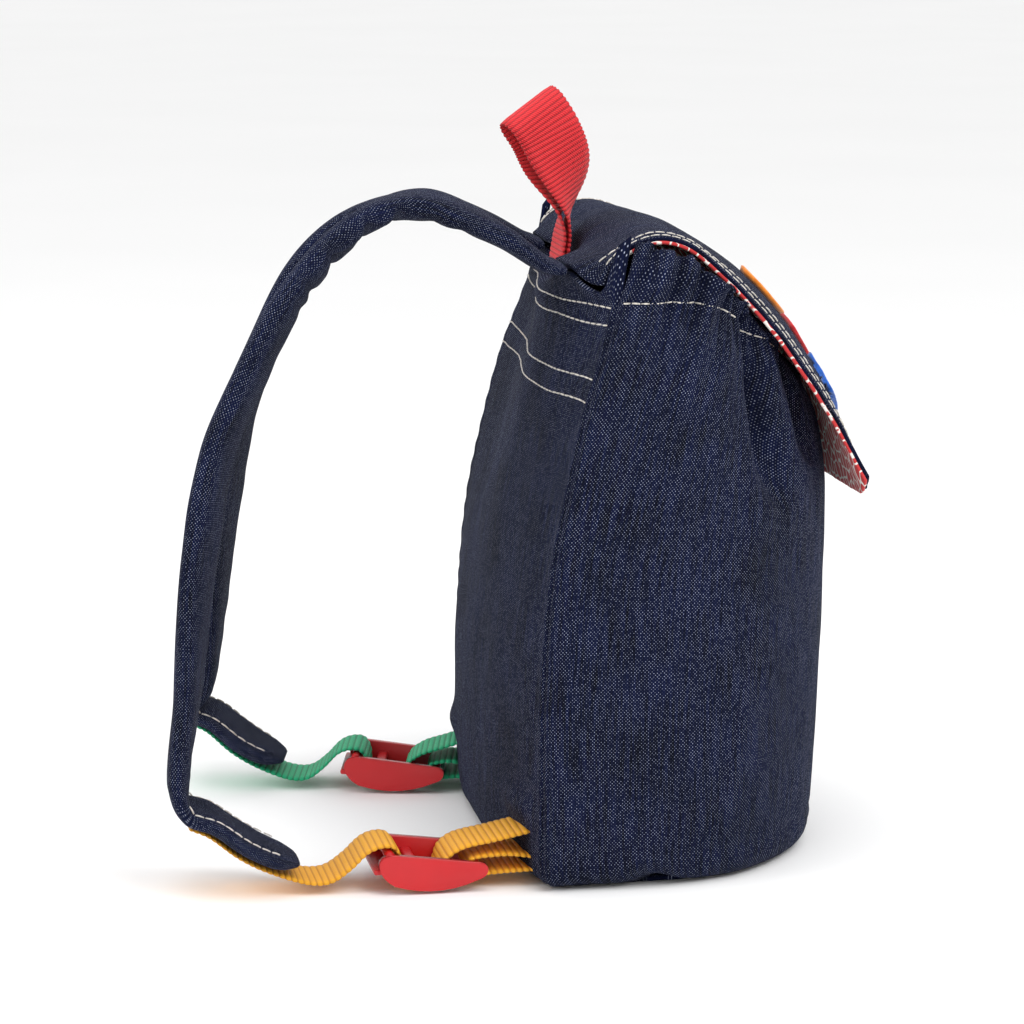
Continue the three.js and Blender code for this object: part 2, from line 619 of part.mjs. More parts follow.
const flapLength = flapOuter.reduce(
  (sum, row, j) => sum + (j ? row[0].distanceTo(flapOuter[j - 1][0]) : 0),
  0,
);
const FELT_RINGS = [0.5, 1];
const FELT_SIDES = { disc: 20, polygon: 12 };

/** How far a felt shape reaches at an angle from its middle. */
function feltRadius(shape, angle) {
  const size = (shape.size * FLAP_WIDTH) / 2;
  if (shape.corners === 0) return size;
  const sector = (2 * Math.PI) / shape.corners;
  const within = ((angle % sector) + sector) % sector;
  return (size * Math.cos(sector / 2)) / Math.cos(within - sector / 2);
}

/** One face of a felt shape, lying at a height over the flap. */
function feltFace(shape, height) {
  const turn = THREE.MathUtils.degToRad(shape.turn);
  const place = (radius, angle) => {
    const across = shape.across + (radius * Math.cos(angle + turn)) / (FLAP_WIDTH / 2);
    const along = shape.along + (radius * Math.sin(angle + turn)) / flapLength;
    const { point, normal } = onGrid(flapOuter, along, (across + 1) / 2);
    return point.addScaledVector(normal, height);
  };
  const sides = shape.corners ? FELT_SIDES.polygon : FELT_SIDES.disc;
  const angles = shares(sides).slice(0, -1).map((share) => 2 * Math.PI * share);
  return {
    centre: place(0, 0),
    rings: FELT_RINGS.map((share) => angles.map((angle) => place(share * feltRadius(shape, angle), angle))),
  };
}
for (const shape of FELT_SHAPES) {
  const geometry = plateBetween(feltFace(shape, FELT_LIFT + FELT_THICKNESS), feltFace(shape, FELT_LIFT));
  addPiece(shape.name, geometry, material(`felt_${shape.colour}`));
}

/** Rings of a section swept along a path. Each station has a point, a width direction and a section of
 * [across, out] pairs in millimetres, out being square to the path and the width. */
function sweep(stations) {
  return stations.map((station, i) => {
    const before = stations[Math.max(i - 1, 0)].point;
    const after = stations[Math.min(i + 1, stations.length - 1)].point;
    const forward = after.clone().sub(before).normalize();
    const wide = station.wide.clone().addScaledVector(forward, -station.wide.dot(forward)).normalize();
    const out = forward.clone().cross(wide);
    return station.section.map(([across, thick]) =>
      station.point.clone().addScaledVector(wide, across).addScaledVector(out, thick),
    );
  });
}

/** The four corners of webbing. */
const webbingSection = [
  [-WEBBING_WIDTH / 2, -WEBBING_THICKNESS / 2],
  [WEBBING_WIDTH / 2, -WEBBING_THICKNESS / 2],
  [WEBBING_WIDTH / 2, WEBBING_THICKNESS / 2],
  [-WEBBING_WIDTH / 2, WEBBING_THICKNESS / 2],
];

/** Webbing that lies square to a width direction, along a smooth path of points. Its named ends stop on the bag. */
function webbing(points, wide, stations, endsOnBag) {
  const curve = new THREE.CatmullRomCurve3(points, false, "centripetal");
  const path = curve.getSpacedPoints(stations);
  const rings = sweep(path.map((point) => ({ point, wide, section: webbingSection })));
  for (const end of endsOnBag) {
    for (let i = 0; i < END_STATIONS; i++) {
      const ring = rings.at(end === 0 ? i : -1 - i);
      for (const point of ring) {
        const seat = backSurface(point.x, point.z) + SEAT_GAP + i * END_STEP;
        point.setY(i === 0 ? seat : Math.max(point.y, seat));
      }
    }
  }
  return tubeThrough(rings);
}

/** A rounded strap section with its inner face puckered in by a depth. */
function strapSection(width, thickness, pucker) {
  return shares(STRAP_SIDES).slice(0, -1).map((share) => {
    const angle = 2 * Math.PI * share;
    const across = Math.sign(Math.cos(angle)) * Math.abs(Math.cos(angle)) ** STRAP_ROUNDNESS.sides;
    const inner = Math.sign(Math.sin(angle)) * Math.abs(Math.sin(angle)) ** STRAP_ROUNDNESS.faces;
    const tucked = share > 0 && share < 0.5 ? pucker : 0;
    return [(across * width) / 2, (inner * thickness) / 2 - tucked];
  });
}

/** The outside of the back at x and z. */
function backSurface(x, z) {
  return backPoint(x / (innerSeamX(z) - GAP), z, innerSeamX(z) - GAP).y;
}

const footY = backSurface(WEBBING_X, RAIL_HEIGHT);

/** The middle of one strap's root. */
function strapRoot(side) {
  const edge = backTopPoint((side.sign * STRAP_ROOT_X) / topHalfWidth, topHalfWidth);
  return edge.add(new THREE.Vector3(0, STRAP_ROOT_BACK, STRAP_ROOT_UP));
}

/** Places the points of one side's webbing and buckle. ahead and up are shares of the rails' size. */
function layout(side) {
  const splay = THREE.MathUtils.degToRad(side.splay);
  const anchor = new THREE.Vector3(side.sign * WEBBING_X, footY, 0);
  const turn = new THREE.Matrix4()
    .makeTranslation(anchor)
    .multiply(new THREE.Matrix4().makeRotationZ(splay))
    .multiply(new THREE.Matrix4().makeTranslation(anchor.clone().negate()));
  const buckleY = footY + side.standoff * BODY_DEPTH;
  const at = (y, z) => new THREE.Vector3(anchor.x, y, z).applyMatrix4(turn);
  const spot = (row) => {
    const slack = row.ahead > 1 ? side.slack : 1;
    return at(buckleY + (1 + (row.ahead - 1) * slack) * RAIL_LENGTH, row.up * RAIL_HEIGHT);
  };
  return { anchor, turn, buckleY, at, spot, wide: new THREE.Vector3(Math.cos(splay), Math.sin(splay), 0) };
}

/** The padded strap of one side. */
function paddedStrap(side, place) {
  const tailStart = place.spot(STRAP_TAIL[0]);
  const root = strapRoot(side);
  const knots = [
    { point: root, width: 1, thick: STRAP_ROOT_THICK, twist: 0 },
    ...STRAP_PROFILE.map((row) => ({
      point: new THREE.Vector3(
        THREE.MathUtils.lerp(root.x, tailStart.x, row.spread),
        root.y + row.out * side.reach * BODY_DEPTH,
        (row.up > 1 ? 1 + (row.up - 1) * side.rise : row.up) * root.z,
      ),
      width: 1,
      thick: row.thick,
      twist: row.spread * side.twist,
    })),
    ...STRAP_TAIL.map((row) => ({
      point: place.spot(row),
      width: row.width,
      thick: row.thick,
      twist: side.splay,
    })),
  ];
  const curve = new THREE.CatmullRomCurve3(knots.map((knot) => knot.point), false, "centripetal");
  const last = knots.length - 1;
  const { start, full, fade, end } = PUCKER_SHARES;
  const stations = shares(STRAP_STATIONS).map((share) => {
    const t = curve.getUtoTmapping(share) * last;
    const k = Math.min(Math.floor(t), last - 1);
    const mix = (column) => THREE.MathUtils.lerp(knots[k][column], knots[k + 1][column], t - k);
    const twist = THREE.MathUtils.degToRad(mix("twist"));
    const tuck = PUCKER_DEPTH * ease(share, start, full) * (1 - ease(share, fade, end));
    const pucker = tuck * Math.sin((Math.PI * PUCKER_COUNT * (share - start)) / (end - start)) ** 2;
    return {
      point: curve.getPoint(t / last),
      wide: new THREE.Vector3(Math.cos(twist), Math.sin(twist), 0),
      section: strapSection(mix("width") * STRAP_WIDTH, mix("thick") * STRAP_THICKNESS, pucker),
    };
  });
  return tubeThrough(sweep(stations));
}

/** A solid for cutting and joining from a closed geometry. */
function solid(geometry) {
  const bare = geometry.clone();
  bare.deleteAttribute("normal");
  bare.deleteAttribute("uv");
  const merged = mergeVertices(bare, 1e-4);
  return new wasm.Manifold(
    new wasm.Mesh({
      numProp: 3,
      vertProperties: merged.attributes.position.array,
      triVerts: new Uint32Array(merged.index.array),
    }),
  );
}

/** The geometry of a joined solid. */
function geometryOf(manifold) {
  const mesh = manifold.getMesh();
  const geometry = new THREE.BufferGeometry();
  geometry.setAttribute("position", new THREE.BufferAttribute(mesh.vertProperties, 3));
  geometry.setIndex(new THREE.BufferAttribute(mesh.triVerts, 1));
  return geometry;
}

/** The buckle: two boat-shaped rails, three bars across and a lifting tab in front. */
function buckle({ anchor, turn, buckleY }) {
  const inside = WEBBING_WIDTH / 2 + RAIL_PLAY;
  const y = (ahead) => buckleY + ahead * RAIL_LENGTH;
  const z = (up) => up * RAIL_HEIGHT;
  // Drawn in the y-z plane and extruded along x.
  const drawn = (row) => [y(row.ahead), z(row.up)];
  const profile = new THREE.Shape();
  profile.moveTo(...drawn(RAIL_START));
  for (const rows of RAIL_OUTLINE) {
    const numbers = rows.flatMap(drawn);
    if (rows.length === 1) profile.lineTo(...numbers);
    if (rows.length === 2) profile.quadraticCurveTo(...numbers);
    if (rows.length === 3) profile.bezierCurveTo(...numbers);
  }
  const extrudeAlongX = new THREE.Matrix4().makeBasis(
    new THREE.Vector3(0, 1, 0),
    new THREE.Vector3(0, 0, 1),
    new THREE.Vector3(1, 0, 0),
  );
  const rail = (x) => {
    const options = { depth: RAIL_THICKNESS, bevelEnabled: false, curveSegments: RAIL_STEPS };
    return solid(new THREE.ExtrudeGeometry(profile, options).applyMatrix4(extrudeAlongX).translate(x, 0, 0));
  };
  const span = 2 * inside + RAIL_THICKNESS;
  const bar = ({ ahead, up }) => {
    const geometry = new THREE.CylinderGeometry(BAR_RADIUS, BAR_RADIUS, span, BAR_SIDES);
    return solid(geometry.rotateZ(Math.PI / 2).translate(anchor.x, y(ahead), z(up)));
  };
  const plate = ({ ahead, up }, length, thickness) => {
    const geometry = new THREE.BoxGeometry(span, length, thickness);
    return solid(geometry.translate(anchor.x, y(ahead), z(up)));
  };
  const whole = [
    rail(anchor.x + inside),
    bar(BARS.rear),
    bar(BARS.front),
    plate(BARS.middle, MIDDLE_BAR_LENGTH, MIDDLE_BAR_THICKNESS),
    plate(BARS.tab, TAB_LENGTH, TAB_THICKNESS),
  ].reduce((joined, piece) => joined.add(piece), rail(anchor.x - inside - RAIL_THICKNESS));
  return geometryOf(whole).applyMatrix4(turn);
}

/** The webbing from under the strap's tail, through the buckle and on to the bag. */
function strapWebbing({ buckleY, at, spot, wide }) {
  // Square below each of the tail's rows but its first and last.
  const underTail = STRAP_TAIL.slice(1, -1).map((row, i) => {
    const along = spot(STRAP_TAIL[i]).sub(spot(STRAP_TAIL[i + 2])).normalize();
    const clear = (STRAP_THICKNESS * row.thick + WEBBING_THICKNESS) / 2 + TAIL_GAP;
    return spot(row).addScaledVector(along.cross(wide), clear);
  });
  const bend = spot(STRAP_TAIL[0]).add(TAIL_BEND_OFFSET);
  const start = underTail[0].clone().lerp(bend, TAIL_WEBBING_REACH);
  const route = [start, ...underTail, ...WEBBING_ROUTE.map(spot)];
  const last = WEBBING_ROUTE.at(-1);
  const seat = footY + GAP;
  const finish = END_SHARES.map((share) =>
    at(
      THREE.MathUtils.lerp(buckleY + last.ahead * RAIL_LENGTH, seat, share),
      THREE.MathUtils.lerp(last.up, WEBBING_END_UP, share) * RAIL_HEIGHT,
    ),
  );
  const lowest = FLOOR_LIFT + WEBBING_THICKNESS / 2;
  const points = [...route, ...finish].map((point) => point.setZ(Math.max(point.z, lowest)));
  return webbing(points, wide, STRAP_WEBBING_STATIONS, [-1]);
}

/** The short webbing from the bag's foot round the buckle's rear bar and back. */
function anchorWebbing({ buckleY, at, wide }) {
  const barY = buckleY + BARS.rear.ahead * RAIL_LENGTH;
  const barZ = BARS.rear.up * RAIL_HEIGHT;
  const around = BAR_RADIUS + GAP + WEBBING_THICKNESS / 2;
  const diagonal = around * Math.SQRT1_2;
  const seat = footY + GAP;
  const points = [
    [seat, barZ + around - ANCHOR_DROP],
    [(seat + barY) / 2, barZ + around + ANCHOR_SAG.top],
    [barY, barZ + around],
    [barY + diagonal, barZ + diagonal],
    [barY + around, barZ],
    [barY + diagonal, barZ - diagonal],
    [barY, barZ - around],
    [(seat + barY) / 2, barZ - around + ANCHOR_SAG.foot],
    [seat, barZ - around + ANCHOR_DROP],
  ].map(([y, z]) => at(y, z));
  return webbing(points, wide, ANCHOR_WEBBING_STATIONS, [0, -1]);
}

for (const side of SIDES) {
  const place = layout(side);
  addPiece(`shoulder_strap_${side.name}`, paddedStrap(side, place), material("denim"));
  addPiece(`strap_webbing_${side.name}`, strapWebbing(place), material(`webbing_${side.colour}`));
  addPiece(`anchor_webbing_${side.name}`, anchorWebbing(place), material(`webbing_${side.colour}`));
  addPiece(`buckle_${side.name}`, buckle(place), material("buckle"));
}

// The hanging loop: both legs rise together and turn about their length, then part and join at the top.
const loopRoot = backTopPoint(-WEBBING_WIDTH / 2 / topHalfWidth, topHalfWidth);
const LOOP_AXIS = [
  { up: 0, back: 0 },
  { up: 0.3, back: -0.3 },
  { up: 0.55, back: -0.25 },
  { up: 0.8, back: 0.25 },
  { up: 1, back: 1 },
];
const loopAxis = new THREE.CatmullRomCurve3(
  LOOP_AXIS.map(
    (row) =>
      new THREE.Vector3(
        0,
        loopRoot.y + WEBBING_THICKNESS + 2 * GAP + row.back * LOOP_LEAN,
        loopRoot.z + LOOP_ROOT_LIFT + row.up * LOOP_HEIGHT,
      ),
  ),
  false,
  "centripetal",
);

/** One station of the loop at a share of its height, on the side -1 (front leg) to 1 (rear leg). */
function loopStation(share, side) {
  const point = loopAxis.getPoint(share);
  const forward = loopAxis.getTangent(share);
  const twist = THREE.MathUtils.degToRad(LOOP_TWIST * ease(share, LOOP_TURNING.start, LOOP_TURNING.end));
  const wide = new THREE.Vector3(Math.cos(twist), Math.sin(twist), 0);
  wide.addScaledVector(forward, -wide.dot(forward)).normalize();
  const apart = forward.clone().cross(wide);
  const closed = (WEBBING_THICKNESS + GAP) / 2;
  const parting = ease(share, LOOP_PARTING.start, LOOP_PARTING.end);
  const half = THREE.MathUtils.lerp(closed, LOOP_OPENING / 2, parting);
  return { point: point.addScaledVector(apart, side * half), wide, section: webbingSection };
}
const LEG_STATIONS = 14;
const FOLD_STATIONS = 6;
const foldStart = 1 - LOOP_OPENING / 2 / LOOP_HEIGHT;
const frontLeg = shares(LEG_STATIONS, 0, foldStart).map((share) => loopStation(share, -1));
const rearLeg = shares(LEG_STATIONS, 0, foldStart).map((share) => loopStation(share, 1)).reverse();
const foldMiddle = frontLeg.at(-1).point.clone().lerp(rearLeg[0].point, 0.5);
const foldSide = rearLeg[0].point.clone().sub(foldMiddle);
const foldUp = loopAxis.getTangent(foldStart).multiplyScalar(foldSide.length());
const foldTop = shares(FOLD_STATIONS).slice(1, -1).map((share) => {
  const angle = Math.PI * (1 - share);
  const point = foldMiddle.clone().addScaledVector(foldSide, Math.cos(angle));
  return { ...frontLeg.at(-1), point: point.addScaledVector(foldUp, Math.sin(angle)) };
});
addPiece(
  "hang_loop",
  tubeThrough(sweep([...frontLeg, ...foldTop, ...rearLeg])),
  material("webbing_red"),
);

export default bag;
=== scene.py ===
"""A small child's backpack in denim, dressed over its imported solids.

Shapes are worked out in millimetres and put into their meshes in metres. +Z is up, the flap's side is -Y, the back
with its straps is +Y and the wearer's left is -X. The origin is on the floor under the middle of the base.
"""

from __future__ import annotations

import logging
import math
import random
from dataclasses import dataclass, field
from enum import Enum
from typing import Any, Callable, Iterable, NamedTuple, Sequence

import bmesh
import bpy
from mathutils import Matrix, Vector, noise

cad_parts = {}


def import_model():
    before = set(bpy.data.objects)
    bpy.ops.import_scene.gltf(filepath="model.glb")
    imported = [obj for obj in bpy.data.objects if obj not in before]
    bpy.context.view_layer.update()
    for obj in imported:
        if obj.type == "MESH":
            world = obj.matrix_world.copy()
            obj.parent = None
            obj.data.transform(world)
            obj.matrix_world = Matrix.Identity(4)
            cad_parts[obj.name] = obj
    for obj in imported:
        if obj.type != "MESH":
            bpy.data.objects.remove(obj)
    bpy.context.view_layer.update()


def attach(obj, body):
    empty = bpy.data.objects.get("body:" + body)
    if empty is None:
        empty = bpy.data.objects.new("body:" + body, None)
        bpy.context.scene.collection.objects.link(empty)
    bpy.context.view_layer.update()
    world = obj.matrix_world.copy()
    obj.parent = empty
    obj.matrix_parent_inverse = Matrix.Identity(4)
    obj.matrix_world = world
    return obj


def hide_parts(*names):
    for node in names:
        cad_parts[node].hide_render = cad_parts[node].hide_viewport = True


LOG = logging.getLogger("backpack")
MM = 0.001
UP = Vector((0, 0, 1))
Colour = tuple[float, float, float, float]
Place = Callable[[float, float], Vector]


# Numbers and curves.


def clamp(value: float, low: float = 0.0, high: float = 1.0) -> float:
    """The value held between two limits."""
    return max(low, min(high, value))


def lerp(low: float, high: float, share: float) -> float:
    """The number at a share of the way between two."""
    return low + (high - low) * share


def ease(value: float, low: float, high: float) -> float:
    """A smooth step from 0 at low to 1 at high."""
    share = clamp((value - low) / (high - low))
    return share * share * (3 - 2 * share)


def bump(value: float, middle: float, reach: float) -> float:
    """A round bump of height 1 at its middle."""
    return math.exp(-(((value - middle) / reach) ** 2))


def shares(count: int, low: float = 0.0, high: float = 1.0) -> list[float]:
    """Evenly spaced numbers from low to high, both included."""
    return [lerp(low, high, i / count) for i in range(count + 1)]


def lump(x: float, y: float, seed: float) -> float:
    """Smooth noise between -1 and 1."""
    return noise.noise(Vector((x, y, seed)))


class Smooth:
    """A smooth function through values at increasing positions."""

    def __init__(self, positions: Sequence[float], values: Sequence[float]) -> None:
        """Keeps the positions and their values."""
        self.positions = list(positions)
        self.values = list(values)

    def __call__(self, position: float) -> float:
        """The value at a position, held at both ends.

        Args:
            position: where to read.

        Returns:
            The value there.
        """
        at, value = self.positions, self.values
        if position <= at[0]:
            return value[0]
        if position >= at[-1]:
            return value[-1]
        i = next(k for k, end in enumerate(at) if end > position)
        before, after = max(i - 2, 0), min(i + 1, len(at) - 1)
        step = at[i] - at[i - 1]
        share = (position - at[i - 1]) / step
        start = (value[i] - value[before]) / (at[i] - at[before]) * step
        finish = (value[after] - value[i - 1]) / (at[after] - at[i - 1]) * step
        square, cube = share**2, share**3
        return (
            (2 * cube - 3 * square + 1) * value[i - 1]
            + (cube - 2 * square + share) * start
            + (3 * square - 2 * cube) * value[i]
            + (cube - square) * finish
        )


class Path:
    """A smooth curve through points, read by its share of length."""

    STEPS = 16

    def __init__(self, points: Sequence[Vector]) -> None:
        """Lays the curve and measures it."""
        self.points = [Vector(p) for p in points]
        last = (len(points) - 1) * self.STEPS
        self.line = [self.at_knot(i / self.STEPS) for i in range(last + 1)]
        self.runs = [0.0]
        for a, b in zip(self.line, self.line[1:]):
            self.runs.append(self.runs[-1] + (b - a).length)
        self.length = self.runs[-1]

    def at_knot(self, knot: float) -> Vector:
        """The point at a fractional knot number, on a centripetal curve through the knots."""
        p = self.points
        i = min(int(knot), len(p) - 2)
        t = knot - i
        p1, p2 = p[i], p[i + 1]
        p0 = p[i - 1] if i else p1 * 2 - p2
        p3 = p[i + 2] if i + 2 < len(p) else p2 * 2 - p1
        d0, d1, d2 = (math.sqrt((b - a).length) or 1.0 for a, b in ((p0, p1), (p1, p2), (p2, p3)))
        m1 = ((p1 - p0) / d0 - (p2 - p0) / (d0 + d1) + (p2 - p1) / d1) * d1
        m2 = ((p2 - p1) / d1 - (p3 - p1) / (d1 + d2) + (p3 - p2) / d2) * d1
        square, cube = t * t, t**3
        return (
            p1 * (2 * cube - 3 * square + 1)
            + m1 * (cube - 2 * square + t)
            + p2 * (3 * square - 2 * cube)
            + m2 * (cube - square)
        )

    def knot(self, share: float) -> float:
        """The fractional knot number at a share of the length."""
        run = clamp(share) * self.length
        low, high = 0, len(self.runs) - 1
        while high - low > 1:
            middle = (low + high) // 2
            if self.runs[middle] <= run:
                low = middle
            else:
                high = middle
        step = self.runs[high] - self.runs[low] or 1.0
        return (low + (run - self.runs[low]) / step) / self.STEPS

    def point(self, share: float) -> Vector:
        """The point at a share of the length."""
        return self.at_knot(self.knot(share))

    def tangent(self, share: float) -> Vector:
        """The direction at a share of the length."""
        step = 0.002
        return (self.point(share + step) - self.point(share - step)).normalized()


# Meshes.


def surface_normal(place: Place, a: float, b: float, step: float = 0.004) -> Vector:
    """The normal of a surface where a and b grow to the right and upwards."""
    across = place(min(a + step, 1), b) - place(max(a - step, 0), b)
    along = place(a, min(b + step, 1)) - place(a, max(b - step, 0))
    return across.cross(along).normalized()


def measured(points: Sequence[Vector]) -> list[float]:
    """Each point's distance along a line through them all."""
    runs = [0.0]
    for a, b in zip(points, points[1:]):
        runs.append(runs[-1] + (b - a).length)
    return runs


def grid_mesh(
    columns: int, rows: int, place: Place, size: tuple[float, float] | None = None, flip: bool = False
) -> bmesh.types.BMesh:
    """A grid laid on a surface.

    Args:
        columns: faces across.
        rows: faces up.
        place: gives the point in millimetres at two shares.
        size: the flat cloth's width and height in millimetres for its UV map, or none to measure the surface.
        flip: turns the faces round.

    Returns:
        The mesh, with a UV map in metres.
    """
    if size:
        across, up = shares(columns, 0, size[0]), shares(rows, 0, size[1])
    else:
        across = measured([place(a, 0.5) for a in shares(columns)])
        up = measured([place(0.15, b) for b in shares(rows)])
    made = bmesh.new()
    uv = made.loops.layers.uv.new("UVMap")
    bmesh.ops.create_grid(made, x_segments=columns, y_segments=rows, size=0.5)
    spots = {vert: (vert.co.x + 0.5, vert.co.y + 0.5) for vert in made.verts}
    for face in made.faces:
        for loop in face.loops:
            a, b = spots[loop.vert]
            loop[uv].uv = (across[round(a * columns)] * MM, up[round(b * rows)] * MM)
    for vert, (a, b) in spots.items():
        vert.co = place(a, b) * MM
    if flip:
        bmesh.ops.reverse_faces(made, faces=made.faces)
    return made


def close_tube(made: bmesh.types.BMesh, merge: float = 1e-6) -> None:
    """Joins a grid's two long edges, which lie on each other, and fills its two ends."""
    bmesh.ops.remove_doubles(made, verts=made.verts, dist=merge)
    ends = [edge for edge in made.edges if edge.is_boundary]
    bmesh.ops.holes_fill(made, edges=ends, sides=0)
    bmesh.ops.recalc_face_normals(made, faces=made.faces)


def finish_piece(name: str, made: bmesh.types.BMesh, finish: bpy.types.Material) -> bpy.types.Object:
    """Turns a mesh into a smooth-shaded piece that rides with the bag.

    Args:
        name: the piece's name.
        made: its mesh, which is freed.
        finish: its material.

    Returns:
        The piece.
    """
    mesh = bpy.data.meshes.new(name)
    made.to_mesh(mesh)
    made.free()
    mesh.shade_smooth()
    mesh.materials.append(finish)
    piece = bpy.data.objects.new(name, mesh)
    bpy.context.scene.collection.objects.link(piece)
    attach(piece, "root")
    LOG.info("%s: %d faces", name, len(mesh.polygons))
    return piece


def thicken(piece: bpy.types.Object, thickness: float, offset: float = -1.0) -> None:
    """Gives a surface its cloth's thickness, in millimetres, on its inner side."""
    wall = piece.modifiers.new("wall", "SOLIDIFY")
    wall.thickness = thickness * MM
    wall.offset = offset
    wall.use_even_offset = False


# Materials.


def tone(code: str) -> Colour:
    """A colour written as six hex digits, as the shaders take it."""

    def straight(value: float) -> float:
        return value / 12.92 if value <= 0.04045 else ((value + 0.055) / 1.055) ** 2.4

    red, green, blue = (straight(int(code[i : i + 2], 16) / 255) for i in (0, 2, 4))
    return (red, green, blue, 1.0)


class Sketch:
    """Adds nodes to one tree and links them."""

    def __init__(self, tree: bpy.types.NodeTree) -> None:
        """Keeps the tree."""
        self.tree = tree

    def feed(self, socket: bpy.types.NodeSocket, value: Any) -> None:
        """Sets a socket to a value, or links it to another socket."""
        if isinstance(value, bpy.types.NodeSocket):
            self.tree.links.new(value, socket)
        else:
            socket.default_value = value

    def node(self, kind: str, inputs: dict[Any, Any] | None = None, **settings: Any) -> bpy.types.Node:
        """A new node.

        Args:
            kind: its type after "ShaderNode".
            inputs: values or sockets for its inputs by name or number.
            settings: its own properties.

        Returns:
            The node.
        """
        made = self.tree.nodes.new("ShaderNode" + kind)
        for name, value in settings.items():
            setattr(made, name, value)
        for key, value in (inputs or {}).items():
            self.feed(made.inputs[key], value)
        return made

    def math(self, operation: str, *values: Any) -> bpy.types.NodeSocket:
        """The result of a sum on numbers."""
        return self.node("Math", dict(enumerate(values)), operation=operation).outputs[0]

    def mix(self, share: Any, low: Any, high: Any) -> bpy.types.NodeSocket:
        """A colour between two."""
        return self.node("Mix", {0: share, 6: low, 7: high}, data_type="RGBA").outputs[2]

    def noise(
        self, vector: Any, scale: float, detail: float = 2.0, rough: float = 0.5
    ) -> bpy.types.NodeSocket:
        """Noise as a number from 0 to 1."""
        inputs = {"Vector": vector, "Scale": scale, "Detail": detail, "Roughness": rough}
        return self.node("TexNoise", inputs).outputs["Fac"]

    def span(self, value: Any, low: float, high: float, to_low: float = 0.0, to_high: float = 1.0) -> Any:
        """A number moved smoothly from one range to another."""
        inputs = {0: value, 1: low, 2: high, 3: to_low, 4: to_high}
        return self.node("MapRange", inputs, interpolation_type="SMOOTHSTEP").outputs[0]

    def scaled(self, vector: Any, x: float, y: float, z: float = 1.0) -> bpy.types.NodeSocket:
        """Coordinates scaled along each axis."""
        return self.node("Mapping", {"Vector": vector, "Scale": (x, y, z)}).outputs[0]


def new_group(
    name: str, inputs: dict[str, tuple[str, Any]], outputs: dict[str, str]
) -> tuple[Sketch, Any, Any]:
    """An empty group of shader nodes.

    Args:
        name: the group's name.
        inputs: each input's socket type and starting value.
        outputs: each output's socket type.

    Returns:
        The sketch of its tree, its input node and its output node.
    """
    tree = bpy.data.node_groups.new(name, "ShaderNodeTree")
    for label, (kind, value) in inputs.items():
        socket = tree.interface.new_socket(label, in_out="INPUT", socket_type=kind)
        if value is not None:
            socket.default_value = value
    for label, kind in outputs.items():
        tree.interface.new_socket(label, in_out="OUTPUT", socket_type=kind)
    start = tree.nodes.new("NodeGroupInput")
    end = tree.nodes.new("NodeGroupOutput")
    return Sketch(tree), start, end


